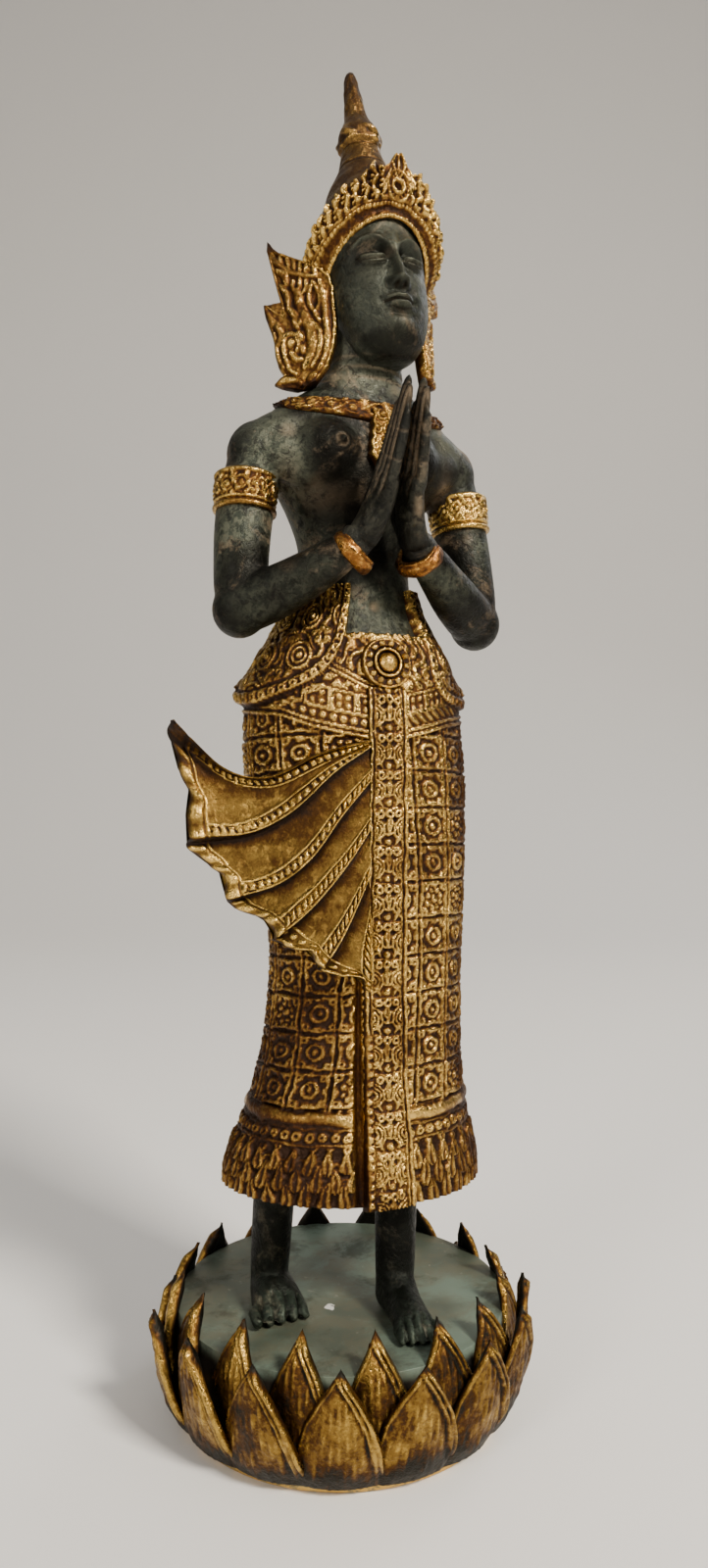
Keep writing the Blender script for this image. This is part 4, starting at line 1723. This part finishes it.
def placeCollar(u, v):
    theta = (u - 0.5) * fullTurn
    low = np.interp(np.abs(theta), collar["lowSteps"], collar["low"])
    tall = collar["top"] - 0.7 * np.cos(theta) - low
    z = low + tall * v
    ends = np.minimum(v, 1 - v) * tall
    h = flowerRelief(theta * 13, (v - 0.5) * 4.4, 2) * 0.95 * smooth(ends, 0.1, 0.5)
    h = h * (0.75 + 0.25 * wobble(theta * 7, v * 3, 4))
    shoulder = 0.6 * bell(np.abs(theta), 1.55, 0.2) * smooth(-v, -0.45, 0)
    proud = 0.55 * smooth(ends, -0.1, 0.5) - 1.4 * (ends < 0.02) + shoulder + h
    half, front, back, cx, cy = torsoAt(z)
    x, y = oval(theta, half + proud, front + proud, back + proud, cx, cy)
    dusty = 0.2 + 0.26 * smooth(wobble(theta * 6, v * 2, 9), -0.1, 0.6) + 0.25 * smooth(-theta, 0.8, 1.3)
    return x, y, z + 0.5 * h + shoulder * 0.6, unit(recessOf(h, 3, 0.65) + dusty)


def placePendant(u, v):
    # a long leaf lying on the breast below the collar
    half = np.interp(v, pendant["halfSteps"], pendant["half"]) * (0.94 + 0.06 * np.cos(v * 34))
    s = u * 2 - 1
    x, y = s * half, v * pendant["length"]
    wx, wy = x + 0.45 * wobble(x * 0.9, y * 0.8, 2), y + 0.45 * wobble(x * 0.8, y * 0.9, 6)
    row = np.floor((wy + 0.4) / 2.7)
    wx = wx + 1.3 * np.mod(row, 2)
    px, py = middleOf(wx + 1.3, 2.6), middleOf(wy + 0.4, 2.7)
    cell = cellNoise(np.floor((wx + 1.3) / 2.6), row, 1)
    boss = most(dome(px, py, 0.55 + 0.3 * cell, 0.75), hoop(px, py, 1.05, 0.3, 0.5 * cell))
    floral = most(boss, leaf(x, -(y - 15.4), 3.6, 1.0, 0.8)) + 0.12 * wobble(x * 3, y * 3, 4)
    h = most(ridge(half - np.abs(x) - 0.4, 0.42, 0.6), floral) * smooth(1 - np.abs(s), 0.0, 0.08)
    body = 0.9 * np.sqrt(unit(1 - s**8)) * np.sqrt(unit(1 - v**10))
    z = pendant["top"] - y
    breast = np.interp(z, pendant["breastSteps"], pendant["breast"]) + 0.05 * x * x * smooth(z, 204, 208)
    outY = breast - body - h + 1.2 * (np.abs(s) > 0.99)
    return pendant["middle"] + x, outY, z, unit(recessOf(h, 2, 0.6) + 0.08)


def ringPiece(name, ring, side, direction, relief):
    # a ring round a limb, turned from +z to direction, with relief(angle, height, share)
    turn = np.array(Vector((0, 0, 1)).rotation_difference(Vector(direction).normalized()).to_matrix())
    curve, centre = through(ring["profile"]), np.array(onSide(side, ring["centre"]))

    def place(u, v):
        a = u * fullTurn
        r, s = curve(v)
        h = relief(a, s, v)
        r = r + h
        local = np.stack(np.broadcast_arrays(r * np.cos(a), r * np.sin(a), s + 0 * a), -1)
        world = local @ turn.T + centre
        return world[..., 0], world[..., 1], world[..., 2], recessOf(h, 3, 0.8)

    return gridPiece(sideName(name, side), ring["columns"], ring["rows"], place, wrap=True)


def armbandPiece(side):
    def relief(a, s, v):
        rims = most(ridge(s + 3.4, 0.5, 0.5), ridge(s - 1.9, 0.3, 0.35))
        rough = 0.3 * wobble(a * 17, s * 2.6, 7) + 0.2 * wobble(a * 31, s * 4.1, 3)
        floral = flowerRelief(a * 6.9, (s + 0.6) * 0.95, side) * 0.7 + rough * 0.8
        h = most(floral, rims) * (1 - smooth(s, 2.2, 2.7)) - 0.3 * bell(s, 2.5, 0.25)
        return h * smooth(np.minimum(v, 1 - v), 0.05, 0.12)

    return ringPiece("armband", armband, side, (side * 0.09, -0.09, -1), relief)


def braceletPiece(side):
    # a broad plain cuff that opens out round the heel of the hand
    def relief(a, s, v):
        h = 0.3 * wobble(a * 3, s * 1.5, 4 + side) + 0.12 * wobble(a * 9, s * 3, 2)
        return h - 0.2 * bell(s, 1.0, 0.25)

    return ringPiece("bracelet", bracelet, side, (-side * 0.62, -0.42, 0.66), relief)


collarRing = gridPiece("collar", collar["columns"], collar["rows"], placeCollar, wrap=True)
settle(collarRing, gilding, "figure")
pendantLeaf = gridPiece("pendant", columns=46, rows=90, place=placePendant)
settle(pendantLeaf, gilding, "figure")
for side in (-1, 1):
    settle(armbandPiece(side), brightGilding, "figure")
    settle(braceletPiece(side), copperGilding, "figure")
print("jewellery made")

# The legs and feet.

legs = {
    "sole": 22.0,
    "voxel": 0.46,
    "toePitch": 2.2,
    "pair": [
        {
            "hip": (-14.4, 0, 57), "ankle": (-15.8, 1.4, 28), "heel": (-15, 5.4), "ball": (-16.2, -6),
            "toes": (-16.8, -10), "inner": 1, "wide": 1.16,
        },
        {
            "hip": (9.4, -8.4, 57), "ankle": (7.2, -12, 28), "heel": (8, -8), "ball": (6, -23.4),
            "toes": (5.6, -28.2), "inner": -1, "wide": 0.86,
        },
    ],
}
legSizes = [[0, 4.4, 4.5], [0.4, 4.3, 4.5], [0.7, 3.9, 4.2], [0.85, 3.8, 4.2], [1, 4.0, 4.5]]


def aheadOf(leg):
    return Vector((leg["toes"][0] - leg["heel"][0], leg["toes"][1] - leg["heel"][1])).normalized()


def addLeg(bm, leg):
    sole, wide = legs["sole"], leg["wide"]
    hip, ankle, heel, ball, toes = [leg[part] for part in ("hip", "ankle", "heel", "ball", "toes")]
    knee = tuple((a + b) / 2 for a, b in zip(hip, ankle))
    addLimb(bm, [hip, knee, ankle, (ankle[0], ankle[1] + 0.6, sole + 0.6)], legSizes, 24, 36, (0, 1, 0))
    foot = [
        (*heel, sole + 2.2), (ankle[0], ankle[1] - 1.4, sole + 3.4),
        (*ball, sole + 2.1), (*toes, sole + 1.3),
    ]
    footSizes = [
        [0, 3.3, 2.6], [0.25, 4.2, 4.4], [0.5, 4.4 * wide, 3.9],
        [0.75, 4.9 * wide, 2.6], [1, 4.7 * wide, 1.5],
    ]
    addLimb(bm, foot, footSizes, 26, 36)
    arch = [(a + b) / 2 for a, b in zip(ankle[:2], ball)]
    instep = [(ankle[0], ankle[1], sole + 7.5), (*arch, sole + 4.0), (*ball, sole + 2.2)]
    addLimb(bm, instep, [[0, 3.6, 3.4], [0.5, 3.6, 2.6], [1, 3.6 * wide, 1.6]], 20, 20)
    ahead = aheadOf(leg)
    for i in range(5):
        aside = (i - 2) * legs["toePitch"] * wide * leg["inner"] * -1
        reach = 0.9 - i * 0.45
        size = 1.5 if i == 0 else 1.15 - i * 0.05
        x, y = toes[0] + ahead.x * reach + ahead.y * aside, toes[1] + ahead.y * reach - ahead.x * aside
        toe = [
            (x - ahead.x * 4.0, y - ahead.y * 4.0, sole + size * 1.5),
            (x - ahead.x * 1.2, y - ahead.y * 1.2, sole + size * 1.3),
            (x + ahead.x * 1.4, y + ahead.y * 1.4, sole + size * 0.9),
        ]
        toeSizes = [[0, size, size], [0.5, size * 0.95, size * 0.9], [1, size * 0.8, size * 0.75]]
        addLimb(bm, toe, toeSizes, 12, 14)


def legsPiece():
    bm = bmesh.new()
    for leg in legs["pair"]:
        addLeg(bm, leg)
    piece = fuse("legsAndFeet", bm, legs["voxel"], 3)
    sole = legs["sole"]
    p, n = pointsOf(piece)
    p[:, 2] = np.maximum(p[:, 2], sole)
    low = 1 - smooth(p[:, 2], sole, sole + 2.0)
    shin = smooth(p[:, 2], sole + 4, sole + 14)
    recess = 0.2 * low + 0.2 * smooth(wobble(p[:, 0], p[:, 2], 2), 0.5, 1) * (1 - 0.6 * shin)
    rubbed = 0.25 * (1 - shin)
    for leg in legs["pair"]:
        # the toes are parted by cuts and rubbed green on top
        ahead = np.array(aheadOf(leg))
        fromTip = p[:, :2] - np.array(leg["toes"])
        along = fromTip @ ahead
        aside = (fromTip[:, 0] * ahead[1] - fromTip[:, 1] * ahead[0]) / (legs["toePitch"] * leg["wide"])
        offToe = np.abs(aside - np.round(aside))
        gap = bell(offToe, 0.5, 0.14) * (np.abs(aside) < 1.8)
        toe = smooth(along, -4.4, -3.0) * (np.abs(aside) < 2.7) * (p[:, 2] < sole + 6)
        p = p - n * (0.75 * gap * toe)[:, None]
        nail = bell(along, 0.9, 0.35) * toe * (offToe < 0.26) * (n[:, 2] > 0.3)
        p = p - n * (0.14 * nail)[:, None]
        rubbed += toe * (0.9 - 1.2 * gap)
    p[:, 2] = np.maximum(p[:, 2], sole)
    setPoints(piece, p, recess=recess, rubbed=unit(rubbed), grime=0.45 + 0.4 * shin)
    return piece


settle(legsPiece(), legSkin, "figure")
print("legs made")

# The lotus.

lotus = {
    "platformHeight": 22,
    "petals": 16,
    "lastFrontPetal": 3,
    "sidePetal": 11,
    "thickness": 1.5,
    # the height of a petal's tip, and how far it leans in over the platform
    "frontTip": (25.6, 0.0),
    "sideTip": (25.0, 5.0),
    "backTip": (20.0, 1.6),
    "uprightTip": (20.0, 0.0),
    "innerTip": (29.0, 0.0),
    "outerFoot": 2.0,
    "innerFoot": 3.0,
    "outerHalf": 8.0,
    "innerHalf": 7.6,
    "outer": [[0, 34.2], [0.14, 36.0], [0.45, 37.9], [0.75, 39.0], [1, 40.2]],
    "inner": [[0, 34.0], [0.5, 35.4], [0.75, 34.8], [1, 33]],
    # the bowl's wall stands just behind the petals, with the flat platform on top
    "bowl": [
        [0, 0], [10, 0], [20, 0], [28, 0], [33.0, 0], [34.2, 0.3], [34.7, 1.1], [34.9, 1.9], [36.1, 4.0],
        [37.1, 7.5], [36.7, 13], [35.4, 18.5], [35.0, 21.6], [34.4, 22], [30.6, 22],
        [20, 22], [10, 22], [0, 22],
    ],
    # the share of a petal's half width, from the tip down to the foot
    "downSteps": [0, 0.1, 0.25, 0.45, 0.65, 0.85, 1],
    "width": [0, 0.2, 0.5, 0.82, 1.0, 1.08, 1.1],
    "frontColumns": 30,
    "backColumns": 6,
    "rows": 36,
}
outerCurve, innerCurve, bowlShape = through(lotus["outer"]), through(lotus["inner"]), evenly(lotus["bowl"])


def placeBowl(u, v):
    a = u * fullTurn
    r, z = bowlShape(v)
    r, z = np.clip(r, 0, None), np.clip(z, 0, None)
    onTop = (v > 0.76) & (r < 34.0)
    uneven = 0.12 * wobble(r * np.sin(a) * 0.2, r * np.cos(a) * 0.2, 3) * (r > 0.1)
    z = np.where(onTop, lotus["platformHeight"] + uneven, z)
    wall = (v > 0.3) & (v < 0.6)
    r = r + 0.22 * np.cos(a * 120) * bell(z, 5, 3.2) * wall + 0.14 * wobble(a * 9, z, 2) * wall
    # the recess value marks the gilded rim line: 0 on the rim, 1 on the dark wall
    dark = 1 - (1 - smooth(z + 0.5 * wobble(a * 14, 0 * z, 3), 1.1, 2.3)) * (r > 32)
    return r * np.sin(a), -r * np.cos(a), z, dark


def outerTip(i):
    # counted from the front round by the figure's left; one petal at the side leans far in
    if i == lotus["sidePetal"]:
        return lotus["sideTip"]
    if i <= lotus["lastFrontPetal"] or i > lotus["sidePetal"]:
        return lotus["frontTip"]
    return lotus["uprightTip"] if i % 4 == 0 else lotus["backTip"]


def petalPiece(name, curve, foot, height, leanIn, halfWidth, angle, seed):
    frontColumns, backColumns = lotus["frontColumns"], lotus["backColumns"]
    tall = height - foot

    def place(u, v):
        k = np.round(u * (frontColumns + backColumns))
        front = k <= frontColumns
        across = np.where(front, k / frontColumns, 1 - (k - frontColumns) / backColumns) * 2 - 1
        share = 1 - (1 - v) ** 1.25
        down, up = (1 - share) * tall, share * tall + foot
        width = np.maximum(halfWidth * np.interp(down / tall, lotus["downSteps"], lotus["width"]), 0.02)
        x = across * width
        cup = 1.2 * (1 - across**2) * smooth(width, 0, 6)
        fade = smooth(up, 3.0, 9.0)
        ribs = 0.3 * np.cos(x * fullTurn / 1.45 + seed + 0.5 * np.sin(down * 0.3 + seed))
        ribs = ribs * smooth(width - np.abs(x), 0.6, 1.8)
        ribs = ribs * (0.6 + 0.4 * np.sin(down * 0.9 + x + seed)) * (0.7 + 0.3 * fade)
        ribs = ribs + 0.2 * wobble(x * 1.4, down * 0.7, seed) + 0.1 * wobble(x * 3.4, down * 2.1, seed)
        fromRight, fromLeft = (1 - across) * width, (1 + across) * width
        rightRoll = most(ridge(fromRight - 0.55, 0.62, 1.4), ridge(fromRight - 1.75, 0.5, 0.9))
        rightRoll = rightRoll * smooth(width, 0.4, 1.8) * smooth(up, 2.5, 8.0)
        leftRoll = ridge(fromLeft - 0.4, 0.45, 0.5) * smooth(width, 0.7, 2.0) * (0.2 + 0.8 * fade)
        h = most(ribs, rightRoll, leftRoll) - 0.35 * bell(fromRight, 2.5, 0.3) * fade
        edge = np.sqrt(np.clip(1 - np.abs(across) ** 10, 0.05, 1))
        half = lotus["thickness"] / 2 * np.clip(width / 2.0, 0.3, 1) * edge
        radius = curve(share)[0] - leanIn * share * share + cup + np.where(front, half + h, -half)
        curl = 0.8 * math.sin(seed * 3.1) * share**4
        curl = curl + 0.8 * across * smooth(width, 2, 7) * smooth(share, 0.05, 0.4)
        radius = radius + curl + 0.25 * share * math.sin(seed * 5.3) - 0.3 * (across > 0) * across * share
        turn = angle + (x + 0.6 * math.sin(seed) * share) / radius
        z = up + 0.35 * math.sin(seed * 2.3) * share
        tip = smooth(-down, -2.2, -0.2)
        low = 1 - smooth(z + 1.1 * wobble(x * 1.6, z * 0.4, seed), 1.5, 10.5)
        stain = 0.22 * smooth(wobble(x * 0.5 + seed * 3, z * 0.4, seed), -0.3, 0.7)
        rolled = unit(rightRoll + 0.5 * leftRoll)
        dark = recessOf(h, 2, 1.2) - 0.08 + stain * (1 - 0.6 * rolled)
        dark = dark + 0.3 * tip + 0.55 * low * (1 - 0.3 * rolled)
        return radius * np.sin(turn), -radius * np.cos(turn), z, np.where(front, unit(dark), 1.0)

    return gridPiece(name, frontColumns + backColumns, lotus["rows"], place, wrap=True)


def petalRows():
    # all the petals are one casting, so they are joined into one piece
    pitch = fullTurn / lotus["petals"]
    whole = bmesh.new()
    for i in range(lotus["petals"]):
        outer = (outerCurve, lotus["outerFoot"], *outerTip(i), lotus["outerHalf"])
        inner = (innerCurve, lotus["innerFoot"], *lotus["innerTip"], lotus["innerHalf"])
        for petal in (
            petalPiece("outerPetal%02d" % i, *outer, i * pitch, i * 1.7 + 0.4),
            petalPiece("innerPetal%02d" % i, *inner, (i + 0.5) * pitch, i * 2.9 + 1.1),
        ):
            mesh = petal.data
            whole.from_mesh(mesh)
            bpy.data.objects.remove(petal)
            bpy.data.meshes.remove(mesh)
    mesh = bpy.data.meshes.new("petals")
    whole.to_mesh(mesh)
    whole.free()
    return linked("petals", mesh)


bowl = gridPiece("bowlAndPlatform", columns=200, rows=84, place=placeBowl, wrap=True)
settle(bowl, verdigris, "lotus_base")
settle(petalRows(), petalGilding, "lotus_base")
print("lotus made")

# The floor, light and camera, whose measures are in metres.

stage = {"colour": (0.88, 0.86, 0.83), "near": 0.7, "bend": 0.8, "tall": 2.2, "wide": 4.0}


def makeFloor(turn):
    # a pale floor that bends up into the backdrop, square to the camera
    bm = bmesh.new()
    bmesh.ops.create_grid(bm, x_segments=4, y_segments=60, size=0.5)
    near, bend, arc = stage["near"], stage["bend"], stage["bend"] * math.pi / 2
    for vert in bm.verts:
        along = (vert.co.y + 0.5) * (near + near + arc + stage["tall"]) - near
        angle = min(max((along - near) / bend, 0), math.pi / 2)
        rest = max(along - near - arc, 0)
        depth = min(along, near) + bend * math.sin(angle)
        vert.co = Vector((vert.co.x * 2 * stage["wide"], depth, bend * (1 - math.cos(angle)) + rest))
    bmesh.ops.rotate(bm, verts=bm.verts, cent=(0, 0, 0), matrix=Matrix.Rotation(turn, 3, "Z"))
    for face in bm.faces:
        face.smooth = True
    mesh = bpy.data.meshes.new("floor")
    bm.to_mesh(mesh)
    bm.free()
    material = bpy.data.materials.new("paleFloor")
    material.use_nodes = True
    shader = material.node_tree.nodes["Principled BSDF"]
    shader.inputs["Base Color"].default_value = (*stage["colour"], 1)
    shader.inputs["Roughness"].default_value = 0.8
    mesh.materials.append(material)
    linked("floor", mesh)


def addSoftbox(name, place, size, power, colour):
    data = bpy.data.lights.new(name, "AREA")
    data.shape = "RECTANGLE"
    data.size, data.size_y = size
    data.energy = power
    data.color = colour
    lamp = linked(name, data)
    lamp.location = place
    lamp.rotation_euler = (Vector((0, 0, 0.14)) - Vector(place)).to_track_quat("-Z", "Y").to_euler()


view = {"azimuth": -22.5, "distance": 0.233, "height": 0.131, "shiftRight": 0.0028, "lens": 36 * 1100 / 1600}
turn = math.radians(view["azimuth"])
makeFloor(turn)
world = bpy.data.worlds.new("softRoom")
world.use_nodes = True
sky = world.node_tree
split = sky.nodes.new("ShaderNodeSeparateXYZ")
feed(sky, split.inputs[0], Term(sky, sky.nodes.new("ShaderNodeTexCoord").outputs["Generated"]))
lit = Term(sky, split.outputs["Z"]).step(0.15, 0.95).mix((0.04, 0.036, 0.032), (0.95, 0.93, 0.9))
# the camera sees a plain pale room beyond the backdrop's edges
seen = Term(sky, sky.nodes.new("ShaderNodeLightPath").outputs["Is Camera Ray"])
feed(sky, sky.nodes["Background"].inputs["Color"], seen.mix(lit, (0.8, 0.78, 0.75)))
sky.nodes["Background"].inputs["Strength"].default_value = 0.55
bpy.context.scene.world = world
addSoftbox("keyLight", (0.35, -1.0, 0.95), (0.28, 0.28), 28, (1.0, 0.93, 0.82))
addSoftbox("fillLight", (-0.95, -0.6, 0.5), (0.3, 0.6), 6.0, (1.0, 0.94, 0.86))
addSoftbox("rimLight", (0.85, 0.35, 0.8), (0.4, 0.4), 2.0, (0.95, 0.97, 1.0))

rightward = Vector((math.cos(turn), math.sin(turn), 0))
forward = Vector((-math.sin(turn), math.cos(turn), 0))
cameraData = bpy.data.cameras.new("camera")
cameraData.lens = view["lens"]
cameraData.sensor_width = 36
cameraData.clip_start = 0.01
camera = linked("camera", cameraData)
camera.location = rightward * view["shiftRight"] - forward * view["distance"]
camera.location.z = view["height"]
camera.rotation_euler = forward.to_track_quat("-Z", "Y").to_euler()
bpy.context.scene.camera = camera
